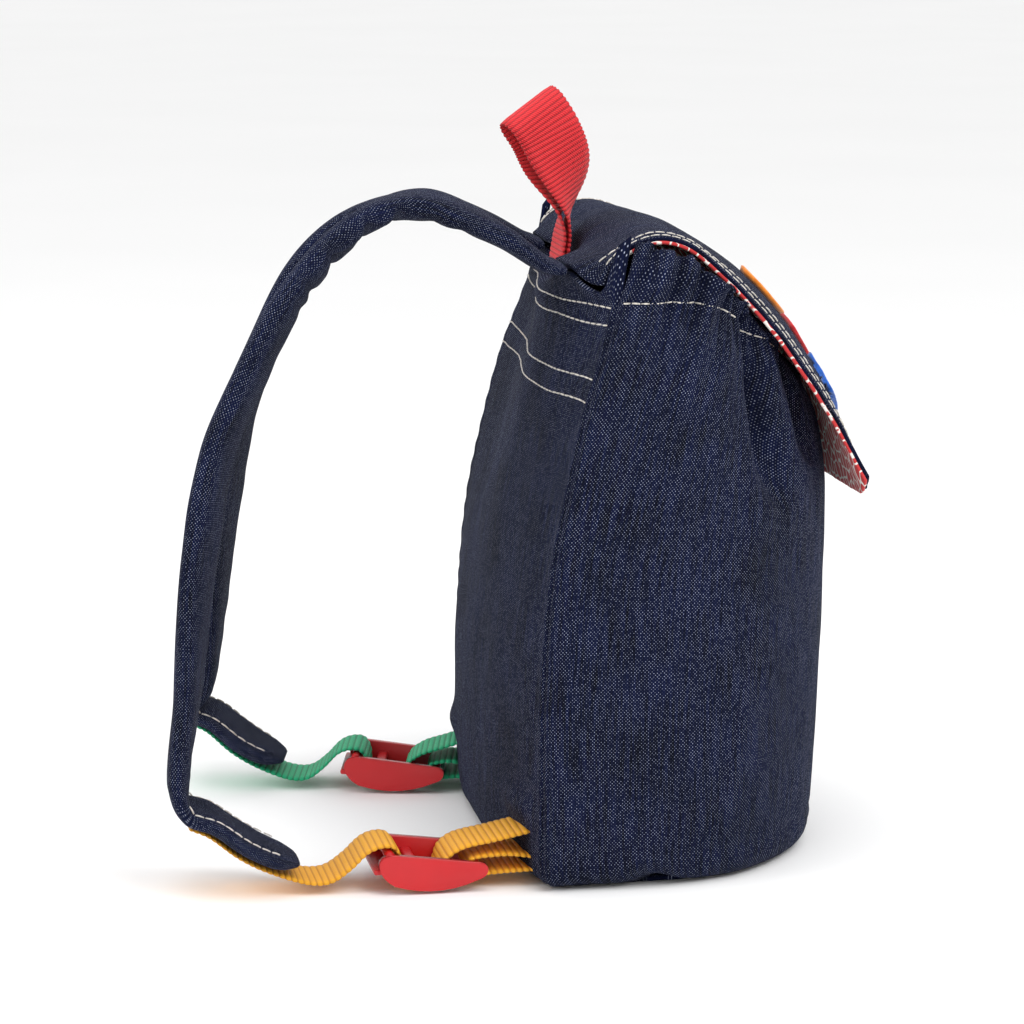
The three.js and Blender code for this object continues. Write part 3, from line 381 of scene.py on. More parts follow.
class Effects:
    """The groups of nodes that several finishes share."""

    def __init__(self) -> None:
        """Builds each group once."""
        self.twill = self._twill()
        self.grain = self._grain()
        self.fibres = self._fibres()

    def _twill(self) -> bpy.types.NodeTree:
        """A diagonal weave: pale flecks of weft between dark warp threads."""
        sketch, start, end = new_group(
            "twill_weave",
            {
                "Coordinates": ("NodeSocketVector", None),
                "Thread": ("NodeSocketFloat", 0.00064),
                "Repeat": ("NodeSocketFloat", 0.00128),
                "Bright": ("NodeSocketFloat", -0.15),
            },
            {"Fleck": "NodeSocketFloat", "Height": "NodeSocketFloat"},
        )
        parts = sketch.node("SeparateXYZ", {0: start.outputs["Coordinates"]})
        across = sketch.math("DIVIDE", parts.outputs[0], start.outputs["Thread"])
        column = sketch.math("FLOOR", across)
        along = sketch.math("DIVIDE", parts.outputs[1], start.outputs["Repeat"])
        lifted = sketch.math("SUBTRACT", along, sketch.math("MULTIPLY", column, 0.5))
        cell = sketch.node("CombineXYZ", {0: column, 1: sketch.math("FLOOR", lifted)})
        noise = sketch.node("TexWhiteNoise", {"Vector": cell.outputs[0]}, noise_dimensions="2D")
        chance = noise.outputs["Value"]
        height = sketch.math("ABSOLUTE", sketch.math("SUBTRACT", sketch.math("FRACT", lifted), 0.5))
        width = sketch.math("ABSOLUTE", sketch.math("SUBTRACT", sketch.math("FRACT", across), 0.5))
        shape = sketch.math("MULTIPLY", sketch.span(height, 0.15, 0.04), sketch.span(width, 0.28, 0.07))
        lit = sketch.span(chance, start.outputs["Bright"], 1.0)
        sketch.feed(end.inputs["Fleck"], sketch.math("MULTIPLY", shape, lit))
        sketch.feed(end.inputs["Height"], sketch.math("SUBTRACT", 1.0, shape))
        return sketch.tree

    def _grain(self) -> bpy.types.NodeTree:
        """Two sizes of noise, for uneven colour and a fine surface."""
        sketch, start, end = new_group(
            "uneven_grain",
            {
                "Coordinates": ("NodeSocketVector", None),
                "Broad": ("NodeSocketFloat", 40.0),
                "Fine": ("NodeSocketFloat", 2500.0),
            },
            {"Broad": "NodeSocketFloat", "Fine": "NodeSocketFloat"},
        )
        for label, detail in (("Broad", 3.0), ("Fine", 2.0)):
            inputs = {"Vector": start.outputs["Coordinates"], "Scale": start.outputs[label], "Detail": detail}
            sketch.feed(end.inputs[label], sketch.node("TexNoise", inputs).outputs["Fac"])
        return sketch.tree

    def _fibres(self) -> bpy.types.NodeTree:
        """Threads that run along the V of a UV map, with a twist in them. Their Shade is painted shade, darkest in
        the gaps between threads, times random wear.
        """
        sketch, start, end = new_group(
            "fibres",
            {"Coordinates": ("NodeSocketVector", None), "Pitch": ("NodeSocketFloat", 0.0006)},
            {"Height": "NodeSocketFloat", "Shade": "NodeSocketFloat"},
        )
        parts = sketch.node("SeparateXYZ", {0: start.outputs["Coordinates"]})
        turns = sketch.math("DIVIDE", parts.outputs[0], start.outputs["Pitch"])
        slant = sketch.math("DIVIDE", parts.outputs[1], start.outputs["Pitch"])
        slanted = sketch.math("ADD", turns, sketch.math("MULTIPLY", slant, 0.45))
        phase = sketch.math("MULTIPLY", slanted, math.pi)
        round_thread = sketch.math("ABSOLUTE", sketch.math("SINE", phase))
        rough = sketch.noise(start.outputs["Coordinates"], 3000.0)
        fuzz = sketch.math("MULTIPLY", rough, 0.5)
        sketch.feed(end.inputs["Height"], sketch.math("ADD", round_thread, fuzz))
        # Shade: painted shade that darkens the gaps between threads, times random wear.
        worn = sketch.span(rough, 0.2, 0.7, 0.6, 1.0)
        sketch.feed(end.inputs["Shade"], sketch.math("MULTIPLY", round_thread, worn))
        return sketch.tree


@dataclass
class Finish:
    """What every finish is built from."""

    effects: Effects

    def start(self, name: str, roughness: float, sheen: float = 0.0) -> tuple[Sketch, bpy.types.Node]:
        """A new material.

        Args:
            name: its name.
            roughness: its plain roughness.
            sheen: its plain sheen.

        Returns:
            The sketch of its tree and its shader.
        """
        material = bpy.data.materials.new(name)
        material.use_nodes = True
        self.material = material
        shader = material.node_tree.nodes["Principled BSDF"]
        shader.inputs["Roughness"].default_value = roughness
        shader.inputs["Sheen Weight"].default_value = sheen
        shader.inputs["Sheen Roughness"].default_value = 0.5
        return Sketch(material.node_tree), shader

    def relief(
        self, sketch: Sketch, shader: bpy.types.Node, height: Any, distance: float, strength: float
    ) -> None:
        """Gives a shader a bump of a real height in millimetres."""
        inputs = {"Height": height, "Distance": distance * MM, "Strength": strength}
        sketch.feed(shader.inputs["Normal"], sketch.node("Bump", inputs).outputs[0])


@dataclass(frozen=True)
class DenimLook:
    """Indigo twill with pale flecks."""

    name: str = "denim"
    dark: Colour = tone("050712")
    light: Colour = tone("0e1533")
    fleck: Colour = tone("c4cce4")
    fleck_share: float = 1.0
    sheen: float = 0.02
    sheen_tint: Colour = tone("8b97c0")
    roughness: float = 0.9

    def build(self, finish: Finish) -> bpy.types.Material:
        """Makes the material."""
        sketch, shader = finish.start(self.name, self.roughness, self.sheen)
        shader.inputs["Sheen Tint"].default_value = self.sheen_tint
        shader.inputs["Specular IOR Level"].default_value = 0.08
        uv = sketch.node("UVMap", uv_map="UVMap").outputs[0]
        wobble = sketch.node("TexNoise", {"Vector": uv, "Scale": 35.0, "Detail": 1.0}).outputs["Color"]
        shift = (0.0012, 0.0012, 0.0)
        shifted = sketch.node("VectorMath", {0: wobble, 1: shift}, operation="MULTIPLY").outputs[0]
        laid = sketch.node("VectorMath", {0: uv, 1: shifted}, operation="ADD").outputs[0]
        twill = sketch.node("Group", node_tree=finish.effects.twill)
        sketch.feed(twill.inputs["Coordinates"], laid)
        grain = sketch.node("Group", {"Broad": 28.0, "Fine": 1400.0}, node_tree=finish.effects.grain)
        sketch.feed(grain.inputs["Coordinates"], uv)
        streaks = sketch.noise(sketch.scaled(uv, 900.0, 45.0), 1.0, 3.0, 0.6)
        patches = sketch.math("MULTIPLY", grain.outputs[0], 0.3)
        patchy = sketch.math("ADD", sketch.math("MULTIPLY", streaks, 0.7), patches)
        ground = sketch.mix(sketch.span(patchy, 0.32, 0.68), self.dark, self.light)
        worn = sketch.math("MULTIPLY", twill.outputs["Fleck"], sketch.span(patchy, 0.25, 0.75, 0.45, 1.0))
        amount = sketch.math("MULTIPLY", worn, self.fleck_share)
        sketch.feed(shader.inputs["Base Color"], sketch.mix(amount, ground, self.fleck))
        height = sketch.math("ADD", twill.outputs["Height"], sketch.math("MULTIPLY", grain.outputs[1], 0.3))
        finish.relief(sketch, shader, height, 0.1, 0.5)
        return finish.material


@dataclass(frozen=True)
class WebbingLook:
    """Woven tape of one colour, with painted shade darkening its rib grooves and the gaps between its threads
    towards deep.
    """

    name: str
    colour: Colour
    # deep is the painted shade colour in the grooves.
    deep: Colour
    pitch: float = 2.4
    roughness: float = 0.62

    def build(self, finish: Finish) -> bpy.types.Material:
        """Makes the material."""
        sketch, shader = finish.start(self.name, self.roughness, 0.04)
        uv = sketch.node("UVMap", uv_map="UVMap").outputs[0]
        fibres = sketch.node("Group", {"Pitch": 0.0008}, node_tree=finish.effects.fibres)
        sketch.feed(fibres.inputs["Coordinates"], uv)
        along = sketch.node("SeparateXYZ", {0: uv}).outputs[1]
        beat = sketch.math("COSINE", sketch.math("MULTIPLY", along, math.pi / (self.pitch * MM)))
        # rib darkens the grooves between ribs: painted shade.
        rib = sketch.span(sketch.math("ABSOLUTE", beat), 0.1, 0.7, 0.3, 1.0)
        shade = sketch.math("MULTIPLY", sketch.span(fibres.outputs["Shade"], 0.0, 0.8, 0.55, 1.0), rib)
        # The base colour goes towards deep in the grooves and thread gaps: painted shade.
        sketch.feed(shader.inputs["Base Color"], sketch.mix(shade, self.deep, self.colour))
        finish.relief(sketch, shader, sketch.math("ADD", fibres.outputs["Height"], rib), 0.2, 0.8)
        return finish.material


@dataclass(frozen=True)
class FeltLook:
    """Thick wool felt."""

    name: str
    colour: Colour
    deep: Colour

    def build(self, finish: Finish) -> bpy.types.Material:
        """Makes the material."""
        sketch, shader = finish.start(self.name, 0.95, 0.45)
        spot = sketch.node("TexCoord").outputs["Object"]
        grain = sketch.node("Group", {"Broad": 350.0, "Fine": 3500.0}, node_tree=finish.effects.grain)
        sketch.feed(grain.inputs["Coordinates"], spot)
        shade = sketch.math("ADD", grain.outputs[0], sketch.math("MULTIPLY", grain.outputs[1], 0.5))
        shaded = sketch.span(shade, 0.45, 1.0)
        sketch.feed(shader.inputs["Base Color"], sketch.mix(shaded, self.deep, self.colour))
        finish.relief(sketch, shader, shade, 0.3, 0.8)
        return finish.material


@dataclass(frozen=True)
class PlasticLook:
    """Moulded plastic with a satin gloss."""

    name: str = "buckle_plastic"
    colour: Colour = tone("c8141c")
    deep: Colour = tone("b20f17")

    def build(self, finish: Finish) -> bpy.types.Material:
        """Makes the material."""
        sketch, shader = finish.start(self.name, 0.34)
        spot = sketch.node("TexCoord").outputs["Object"]
        grain = sketch.node("Group", {"Broad": 60.0, "Fine": 1800.0}, node_tree=finish.effects.grain)
        sketch.feed(grain.inputs["Coordinates"], spot)
        sketch.feed(shader.inputs["Base Color"], sketch.mix(grain.outputs[0], self.deep, self.colour))
        sketch.feed(shader.inputs["Roughness"], sketch.span(grain.outputs[1], 0.3, 0.7, 0.28, 0.42))
        finish.relief(sketch, shader, grain.outputs[1], 0.02, 0.4)
        return finish.material


@dataclass(frozen=True)
class PrintLook:
    """Cotton printed with short white strokes on red."""

    name: str = "lining_print"
    red: Colour = tone("bb2a2c")
    white: Colour = tone("e8e1da")

    def build(self, finish: Finish) -> bpy.types.Material:
        """Makes the material."""
        sketch, shader = finish.start(self.name, 0.85, 0.1)
        uv = sketch.node("UVMap", uv_map="UVMap").outputs[0]
        bent = sketch.node("TexNoise", {"Vector": uv, "Scale": 130.0, "Detail": 1.0}).outputs["Color"]
        shift = sketch.node("VectorMath", {0: bent, 1: (0.006, 0.006, 0.0)}, operation="MULTIPLY").outputs[0]
        laid = sketch.node("VectorMath", {0: uv, 1: shift}, operation="ADD").outputs[0]
        cells = sketch.node(
            "TexVoronoi", {"Vector": laid, "Scale": 190.0}, feature="DISTANCE_TO_EDGE", voronoi_dimensions="2D"
        )
        strokes = sketch.span(cells.outputs["Distance"], 0.05, 0.1)
        fibres = sketch.node("Group", {"Pitch": 0.0005}, node_tree=finish.effects.fibres)
        sketch.feed(fibres.inputs["Coordinates"], uv)
        sketch.feed(shader.inputs["Base Color"], sketch.mix(strokes, self.white, self.red))
        finish.relief(sketch, shader, fibres.outputs["Height"], 0.05, 0.5)
        return finish.material


@dataclass(frozen=True)
class ThreadLook:
    """Thick off-white sewing thread."""

    name: str = "thread"
    pale: Colour = tone("dcd6cd")
    deep: Colour = tone("9d978f")

    def build(self, finish: Finish) -> bpy.types.Material:
        """Makes the material."""
        sketch, shader = finish.start(self.name, 0.7, 0.2)
        spot = sketch.node("TexCoord").outputs["Object"]
        grain = sketch.node("Group", {"Broad": 900.0, "Fine": 5000.0}, node_tree=finish.effects.grain)
        sketch.feed(grain.inputs["Coordinates"], spot)
        shaded = sketch.span(grain.outputs[0], 0.25, 0.6)
        sketch.feed(shader.inputs["Base Color"], sketch.mix(shaded, self.deep, self.pale))
        finish.relief(sketch, shader, grain.outputs[1], 0.1, 0.6)
        return finish.material


@dataclass(frozen=True)
class FloorLook:
    """A plain pale floor."""

    name: str = "floor"
    colour: Colour = (0.97, 0.97, 0.97, 1.0)

    def build(self, finish: Finish) -> bpy.types.Material:
        """Makes the material."""
        sketch, shader = finish.start(self.name, 0.8)
        spot = sketch.node("TexCoord").outputs["Object"]
        shade = sketch.span(sketch.noise(spot, 3.0), 0.0, 1.0, 0.97, 1.0)
        tint = sketch.node("Mix", {0: 1.0, 6: self.colour, 7: shade}, data_type="RGBA", blend_type="MULTIPLY")
        sketch.feed(shader.inputs["Base Color"], tint.outputs[2])
        return finish.material


# The bag's form.


BACK_ROWS = (212.0, 206.0, 187.0, 179.0)


class Section(NamedTuple):
    """One plan section of the bag, as shares of the sizes in BagForm."""

    height: float
    half_width: float
    seam: float
    crown: float
    flatness: float
    skew: float
    front: float
    gather: float
    turn: float


class FlapRow(NamedTuple):
    """One row of the flap's side edge, as shares of the sizes in BagForm."""

    out: float
    up: float
    crown: float


class Crease(NamedTuple):
    """A crease below the gathers: where it is along the panel, its ends up the bag, and its depth."""

    along: float
    top: float
    foot: float
    depth: float
    lean: float


class Gather(NamedTuple):
    """A valley of the gathered mouth: where it is from a seam, and shares of the valleys' depth and width."""

    along: float
    depth: float
    width: float
    lean: float


@dataclass
class BagForm:
    """The bag's sizes in millimetres and the surfaces that they give."""

    width: float = 200
    depth: float = 140
    height: float = 214
    casing: float = 19
    back_crown: float = 16
    side_straight: float = 34
    mouth_drop: float = 26
    mouth_level: float = 0.07
    mouth_low: float = 0.42
    cloth: float = 1.6
    gap: float = 0.4
    hem_turn: float = 7
    hem_lift: float = 0.5
    gather_depth: float = 6
    gather_width: float = 3.4
    gather_run: float = 280
    gather_swell: float = 0.45
    gather_strength: float = 1.2
    gather_rise: float = 0.3
    gather_fall: float = 0.5
    gather_edge: float = 1.4
    puff: float = 1.8
    crease_depth: float = 17
    crease_width: float = 8
    notch_lift: float = 3.4
    notch_width: float = 8
    notch_along: float = 0.13
    front_power: float = 2.15
    straight_share: float = 0.12
    panel_length: float = 520
    flap_width: float = 150
    flap_thickness: float = 1.4
    lining_thickness: float = 1.0
    flap_crown: float = 10
    lip_curve: float = 4
    under_flap: float = 2.8
    corner_radius: float = 9
    top_rise: float = 8.5
    top_sag: float = 4
    top_tuck: float = 13
    top_flatness: float = 9
    dip_reach: float = 0.46
    skew_from: float = -0.25
    skew_to: float = 0.5
    corner_drop: float = 5.5
    corner_rise: float = 21

    body_rows: tuple[Section, ...] = (
        Section(0, 0.95, 0.76, 0.56, 2.6, 0, 0.93, 0, 1),
        Section(0.007, 0.955, 0.765, 0.56, 2.6, 0, 0.93, 0, 0.4),
        Section(0.028, 0.965, 0.77, 0.57, 2.6, 0, 0.935, 0, 0.06),
        Section(0.15, 0.985, 0.773, 0.58, 2.6, 0, 0.962, 0, 0),
        Section(0.34, 0.985, 0.768, 0.53, 2.8, 0, 0.985, 0, 0),
        Section(0.54, 0.97, 0.719, 0.5, 2.6, 0.3, 1, 0.05, 0),
        Section(0.7, 0.95, 0.623, 0.54, 2.4, 0.6, 0.99, 0.2, 0),
        Section(0.83, 0.92, 0.522, 0.66, 2.4, 0.7, 0.93, 0.45, 0),
        Section(0.93, 0.88, 0.414, 0.86, 2.6, 0.6, 0.83, 0.75, 0),
        Section(1, 0.84, 0.345, 1.08, 3, 0.48, 0.7, 0.9, 0),
    )
    # Heights above the stitch line, as shares of the casing.
    casing_rows: tuple[Section, ...] = (
        Section(0.42, 0.825, 0.295, 1.16, 5, 0.45, 0.655, 1.3, 0),
        Section(1, 0.79, 0.235, 1, 5, 0.45, 0.575, 1.3, 0),
    )
    flap_rows: tuple[FlapRow, ...] = (
        FlapRow(0.32, 1.083, -0.1),
        FlapRow(0.13, 1.11, 0),
        FlapRow(-0.06, 1.096, 0.25),
        FlapRow(-0.225, 1.053, 0.6),
        FlapRow(-0.38, 1.003, 0.9),
        FlapRow(-0.55, 0.938, 1),
        FlapRow(-0.715, 0.862, 1),
        FlapRow(-0.885, 0.775, 0.75),
        FlapRow(-1.035, 0.66, 0.35),
    )
    creases: tuple[Crease, ...] = (
        Crease(0.205, 1.1, 0.66, 1, 0.066),
        Crease(0.31, 0.99, 0.74, 0.5, 0.03),
    )

    gathers: tuple[Gather, ...] = (
        Gather(0.012, 0.6, 1, 0.02),
        Gather(0.066, 0.8, 0.8, -0.004),
        Gather(0.098, 1.1, 0.9, -0.004),
        Gather(0.145, 0.8, 1.1, 0.006),
        Gather(0.176, 1, 1.1, -0.01),
        Gather(0.216, 0.6, 1.2, 0.006),
        Gather(0.252, 0.9, 1, -0.004),
        Gather(0.291, 0.6, 1.2, 0.005),
        Gather(0.332, 1, 1.1, -0.006),
        Gather(0.371, 0.55, 1.2, 0.004),
        Gather(0.412, 0.95, 1, 0.005),
        Gather(0.456, 0.6, 1.2, -0.005),
        Gather(0.497, 0.8, 1.1, 0.004),
    )

    def __post_init__(self) -> None:
        """Works out the sections' heights and the curves through them."""
        heights = [self.hem_lift + row.height * (self.height - self.hem_lift) for row in self.body_rows]
        heights += [self.height + row.height * self.casing for row in self.casing_rows]
        rows = self.body_rows + self.casing_rows
        self.read = {
            name: Smooth(heights, [getattr(row, name) for row in rows])
            for name in Section._fields
            if name != "height"
        }
        self.mouth = self.height + self.casing
        self.back_top = self.height + self.top_rise
        self.stack = self.flap_thickness + self.gap + self.lining_thickness
        self.top_half = self.back_half(self.back_top)
        self.flap_points = [self._flap_row(i) for i in range(len(self.flap_rows))]

    def section(self, z: float) -> dict[str, float]:
        """The plan sizes in millimetres at a height."""
        turn = max(self.read["turn"](z), 0) * self.hem_turn
        return {
            "half": self.read["half_width"](z) * self.width / 2 - turn,
            "seam": self.read["seam"](z) * self.depth / 2 - turn,
            "crown": self.read["crown"](z) * self.back_crown,
            "flatness": self.read["flatness"](z),
            "skew": self.read["skew"](z),
            "front": -self.read["front"](z) * self.depth / 2 + turn,
            "gather": max(self.read["gather"](z), 0) * self.gather_depth,
        }

    def outline(self, share: float, size: dict[str, float]) -> Vector:
        """The plan outline of the side-and-front panel, 0 being the left seam and 0.5 the front."""
        side = -1 if share < 0.5 else 1
        from_seam = min(share, 1 - share)
        turn_y = size["seam"] - self.side_straight
        if from_seam < self.straight_share:
            return Vector((side * size["half"], lerp(size["seam"], turn_y, from_seam / self.straight_share)))
        angle = (from_seam - self.straight_share) / (0.5 - self.straight_share) * math.pi / 2
        power = 2 / self.front_power
        across = max(math.cos(angle), 0) ** power
        forward = math.sin(angle) ** power
        return Vector((side * size["half"] * across, turn_y - (turn_y - size["front"]) * forward))

    def fold(self, share: float, z: float, gather: float) -> float:
        """How far the folds move the panel outwards."""
        from_seam = min(share, 1 - share)
        calm = ease(from_seam, 0, 0.03)
        above = (z - self.height) / self.casing
        change = self.gather_rise * above if above > 0 else -self.gather_fall * ease(-above, 0, 1)
        strength = self.gather_strength + change
        place = from_seam + 0.004 * lump(share * 11, 0.4, 3)
        depth = self.gather_swell * gather
        for valley in self.gathers:
            offset = abs(place - valley.along - valley.lean * above) * self.gather_run
            notch = math.exp(-((offset / (self.gather_width * valley.width)) ** self.gather_edge))
            depth -= strength * gather * valley.depth * notch
        depth *= ease(from_seam, 0, 0.02)
        depth += calm * self.puff * (bump(above, 0.5, 0.35) - 1.3 * ease(above, 0.6, 1.1))
        for crease in self.creases:
            middle = (crease.top + crease.foot) / 2 * self.height
            half = (crease.top - crease.foot) / 2 * self.height
            lengthwise = max(1 - ((z - middle) / half) ** 2, 0)
            along = crease.along + crease.lean * (crease.top - z / self.height) / (crease.top - crease.foot)
            offset = (from_seam - along) * (self.width + self.depth) / self.crease_width
            depth -= crease.depth * self.crease_depth * lengthwise * math.exp(-offset * offset)
        return depth

    def detail(self, share: float, z: float) -> float:
        """Fine relief of the panel: its seam's roll, puckers, the stitch line's groove and soft waves."""
        from_seam = min(share, 1 - share) * self.panel_length
        level = z / self.height
        roll = 0.9 * bump(from_seam, 2.6, 1.8) - 1.2 * bump(from_seam, 0, 1.3)
        pucker = 0.35 * math.sin(z * 0.62 + 2.2 * lump(z * 0.05, 1, 7)) * math.exp(-from_seam / 9)
        groove = -0.8 * bump(z, self.height, 1.6)
        soft = 1.3 * lump(share * 11, level * 2.2, 11) * ease(from_seam, 4, 60)
        crumple = 0.45 * lump(share * 42, level * 9, 13) * ease(from_seam, 2, 30)
        small = 0.7 * bump(z, self.height - 3, 14) * math.sin(from_seam * 0.9 + 3 * lump(share * 20, 1.5, 17))
        hem = 0.4 * bump(z, 9, 2.5) - 0.3 * bump(z, 13, 1.5)
        return roll + pucker + groove + soft + crumple + small * ease(from_seam, 3, 12) * 0.6 + hem

    def notch(self, share: float, z: float) -> float:
        """The lift of the hem's notch."""
        from_seam = min(share, 1 - share)
        offset = (from_seam - self.notch_along) * (self.width + self.depth) / self.notch_width
        return self.notch_lift * math.exp(-offset * offset) * (1 - ease(z, 0, 0.06 * self.height))

    def _flap_row(self, i: int) -> tuple[float, float, float, Vector]:
        """A row of the flap's profile in millimetres, with the direction square to it."""
        rows = self.flap_rows
        before, after = rows[max(i - 1, 0)], rows[min(i + 1, len(rows) - 1)]
        run = (after.out - before.out) * self.depth / 2
        rise = (after.up - before.up) * self.height
        square = Vector((0, rise, -run)).normalized()
        return rows[i].out * self.depth / 2, rows[i].up * self.height, rows[i].crown * self.flap_crown, square

    def flap_profile(self, share: float) -> list[Vector]:
        """The flap's outer face from its second row to its lip at a share of its half width."""
        line = []
        for y, z, crown, square in self.flap_points:
            line.append(Vector((share * self.flap_width / 2, y, z)) + square * (crown * (1 - share * share)))
        return line

    def room(self, x: float, y: float) -> float:
        """The most height there is for the panel under the flap."""
        line = self.flap_profile(clamp(x / (self.flap_width / 2), -1, 1))
        if y >= line[0].y:
            return line[0].z - self.stack - self.under_flap
        for before, after in zip(line, line[1:]):
            if after.y < y:
                run = before.y - after.y
                height = lerp(before.z, after.z, (before.y - y) / run)
                return height - (self.stack + self.under_flap) * math.hypot(1, (before.z - after.z) / run)
        return math.inf

    def panel(self, share: float, level: float) -> Vector:
        """The outside of the side-and-front panel at shares of its length and height."""
        z = lerp(self.hem_lift, self.mouth, level)
        size = self.section(z)
        step = 0.006
        before, after = self.outline(max(share - step, 0), size), self.outline(min(share + step, 1), size)
        outward = Vector((after.y - before.y, before.x - after.x)).normalized()
        depth = self.fold(share, z, size["gather"]) + self.detail(share, z)
        plan = self.outline(share, size) + outward * depth
        from_seam = min(share, 1 - share)
        drop = self.mouth_drop * (z / self.height) ** 3 * ease(from_seam, self.mouth_level, self.mouth_low)
        corner = 4 * ease(z, self.height, self.mouth) * (1 - ease(from_seam, 0.01, 0.07))
        height = z - drop + self.notch(share, z) + corner
        beside = abs(plan.x) > self.flap_width / 2 + 1.5
        if beside and plan.y > 16:
            return Vector((plan.x, plan.y, height))
        room = self.room(plan.x, plan.y) + (2 + 5 * ease(plan.y, 6, 16) if beside else 0)
        over = height - room
        if over > -1.5:
            height = room - 1.5 * math.exp(-(over + 1.5) / 1.5)
        return Vector((plan.x, plan.y, height))

    def back_half(self, z: float) -> float:
        """Half the back's width at a height, inside the panel's seams."""
        return self.section(z)["half"] - self.cloth - self.gap

    def crown_depth(self, share: float, size: dict[str, float], flatness: float) -> float:
        """How far the back stands behind its seams, less so on its right half."""
        skew = size["skew"] * ease(share, self.skew_from, self.skew_to)
        return size["crown"] * (1 - abs(share) ** flatness) * (1 - skew)

    def back(self, share: float, z: float) -> Vector:
        """The outside of the back at a share of its half width and a height."""
        size = self.section(z)
        behind = self.crown_depth(share, size, size["flatness"])
        return Vector((share * self.back_half(z), size["seam"] + behind, z))

    def back_edge(self, share: float) -> Vector:
        """The back's top edge, which curls forward, dips between the straps and falls towards its corners."""
        dip = max(1 - (share / self.dip_reach) ** 2, 0) ** 2
        size = self.section(self.back_top)
        y = size["seam"] + self.crown_depth(share, size, self.top_flatness) - self.top_tuck * dip
        corner = self.corner_drop * ease(abs(share), 0.72, 0.92)
        return Vector((share * self.top_half, y, self.back_top - self.top_sag * dip - corner))

    def back_corner(self, share: float) -> float:
        """How far the back's top edge climbs beside the gathered mouth, next to its seams."""
        return self.corner_rise * ease(abs(share), 0.93, 1.0)

    def back_cloth(self, a: float, b: float) -> Vector:
        """The back from its hem to its top edge, with its seams' roll and grooves along its stitching."""
        share = 2 * a - 1
        z = lerp(self.hem_lift, self.back_top, b)
        body_top = self.height
        if z > body_top:
            foot, top = self.back(share, body_top), self.back_edge(share)
            part = (z - body_top) / (self.back_top - body_top)
            point = foot.lerp(top, part)
            point.z += self.back_corner(share) * part
        else:
            point = self.back(share, z)
        from_seam = (1 - abs(share)) * self.width / 2
        groove = sum(bump(z, row + 0.8 * lump(share * 3, row, 2), 1.3) for row in BACK_ROWS)
        puff = 0.5 * bump(z, 209, 3) + 0.5 * bump(z, 183, 4)
        soft = 1.0 * lump(share * 2.4, z * 0.012, 23) + 0.2 * lump(share * 9, z * 0.05, 29)
        roll = 0.7 * bump(from_seam, 2.4, 1.6) - 1.0 * bump(from_seam, 0, 1.2)
        pucker = 0.22 * math.sin(z * 0.7 + 2 * lump(z * 0.06, 4, 31)) * math.exp(-from_seam / 8)
        calm = ease(from_seam, 1, 12)
        pulled = bump(abs(point.x), 72, 17) * (2.2 * bump(z, 28, 5) - 0.6 * bump(z, 17, 5))
        point.y += roll + pucker + (soft + puff - 0.55 * groove + pulled) * calm
        return point

    def back_surface(self, x: float, z: float) -> float:
        """The depth of the back's outside at a place across and a height below the gathers."""
        share = clamp(x / self.back_half(z), -1, 1)
        return self.back_cloth((1 + share) / 2, (z - self.hem_lift) / (self.back_top - self.hem_lift)).y


class Stitcher:
    """Lays rows of stitches along lines on a surface."""

    def __init__(self, name: str, seed: int) -> None:
        """Starts an empty mesh."""
        self.name = name
        self.made = bmesh.new()
        self.chance = random.Random(seed)

    def stitch(self, start: Vector, end: Vector, normal: Vector, thick: float) -> None:
        """One stitch as a small capsule, in millimetres."""
        along = end - start
        forward = along.normalized()
        side = normal.cross(forward).normalized()
        upward = forward.cross(side)
        turn = Matrix((forward, side, upward)).transposed().to_4x4()
        turn.translation = (start + end) / 2
        new = bmesh.ops.create_uvsphere(self.made, u_segments=6, v_segments=6, radius=thick / 2)["verts"]
        bmesh.ops.rotate(self.made, verts=new, matrix=Matrix.Rotation(math.pi / 2, 3, "Y"))
        reach = max(along.length - thick, 0) / 2
        for vert in new:
            if abs(vert.co.x) > 1e-4:
                vert.co.x += math.copysign(reach, vert.co.x)
            arch = 1 - (vert.co.x / (reach + thick / 2)) ** 2
            vert.co.z += 0.22 * arch * thick
            vert.co = (turn @ vert.co) * MM

    def row(
        self,
        line: Sequence[Vector],
        normals: Sequence[Vector],
        pitch: float = 3.9,
        gap: float = 0.6,
        thick: float = 0.65,
    ) -> None:
        """A row of stitches along a line.

        Args:
            line: points on the surface in millimetres.
            normals: the surface's direction at each point.
            pitch: from one stitch to the next.
            gap: between two stitches.
            thick: of the thread.
        """
        runs = [0.0]
        for a, b in zip(line, line[1:]):
            runs.append(runs[-1] + (b - a).length)

        def at(run: float) -> tuple[Vector, Vector]:
            k = next((i for i, end in enumerate(runs) if end > run), len(runs) - 1)
            share = clamp((run - runs[k - 1]) / max(runs[k] - runs[k - 1], 1e-9))
            return line[k - 1].lerp(line[k], share), normals[k - 1].lerp(normals[k], share).normalized()

        count = max(int(runs[-1] / pitch), 1)
        step = runs[-1] / count
        for i in range(count):
            lead = self.chance.uniform(-0.15, 0.15)
            start, low = at(i * step + gap / 2 + lead)
            end, high = at((i + 1) * step - gap / 2 + lead)
            sway = low.cross(end - start).normalized() * self.chance.uniform(-0.12, 0.12)
            rise = thick * 0.12
            plump = thick * self.chance.uniform(0.92, 1.06)
            self.stitch(start + low * rise + sway, end + high * rise - sway, low, plump)

    def on_surface(
        self, place: Place, spots: Iterable[tuple[float, float]], flip: bool = False, **sizes: float
    ) -> None:
        """A row along shares of a surface."""
        line, normals = [], []
        for a, b in spots:
            line.append(place(a, b))
            square = surface_normal(place, a, b)
            normals.append(-square if flip else square)
        self.row(line, normals, **sizes)

    def finish(self, material: bpy.types.Material) -> bpy.types.Object:
        """Turns the stitches into a piece."""
        return finish_piece(self.name, self.made, material)


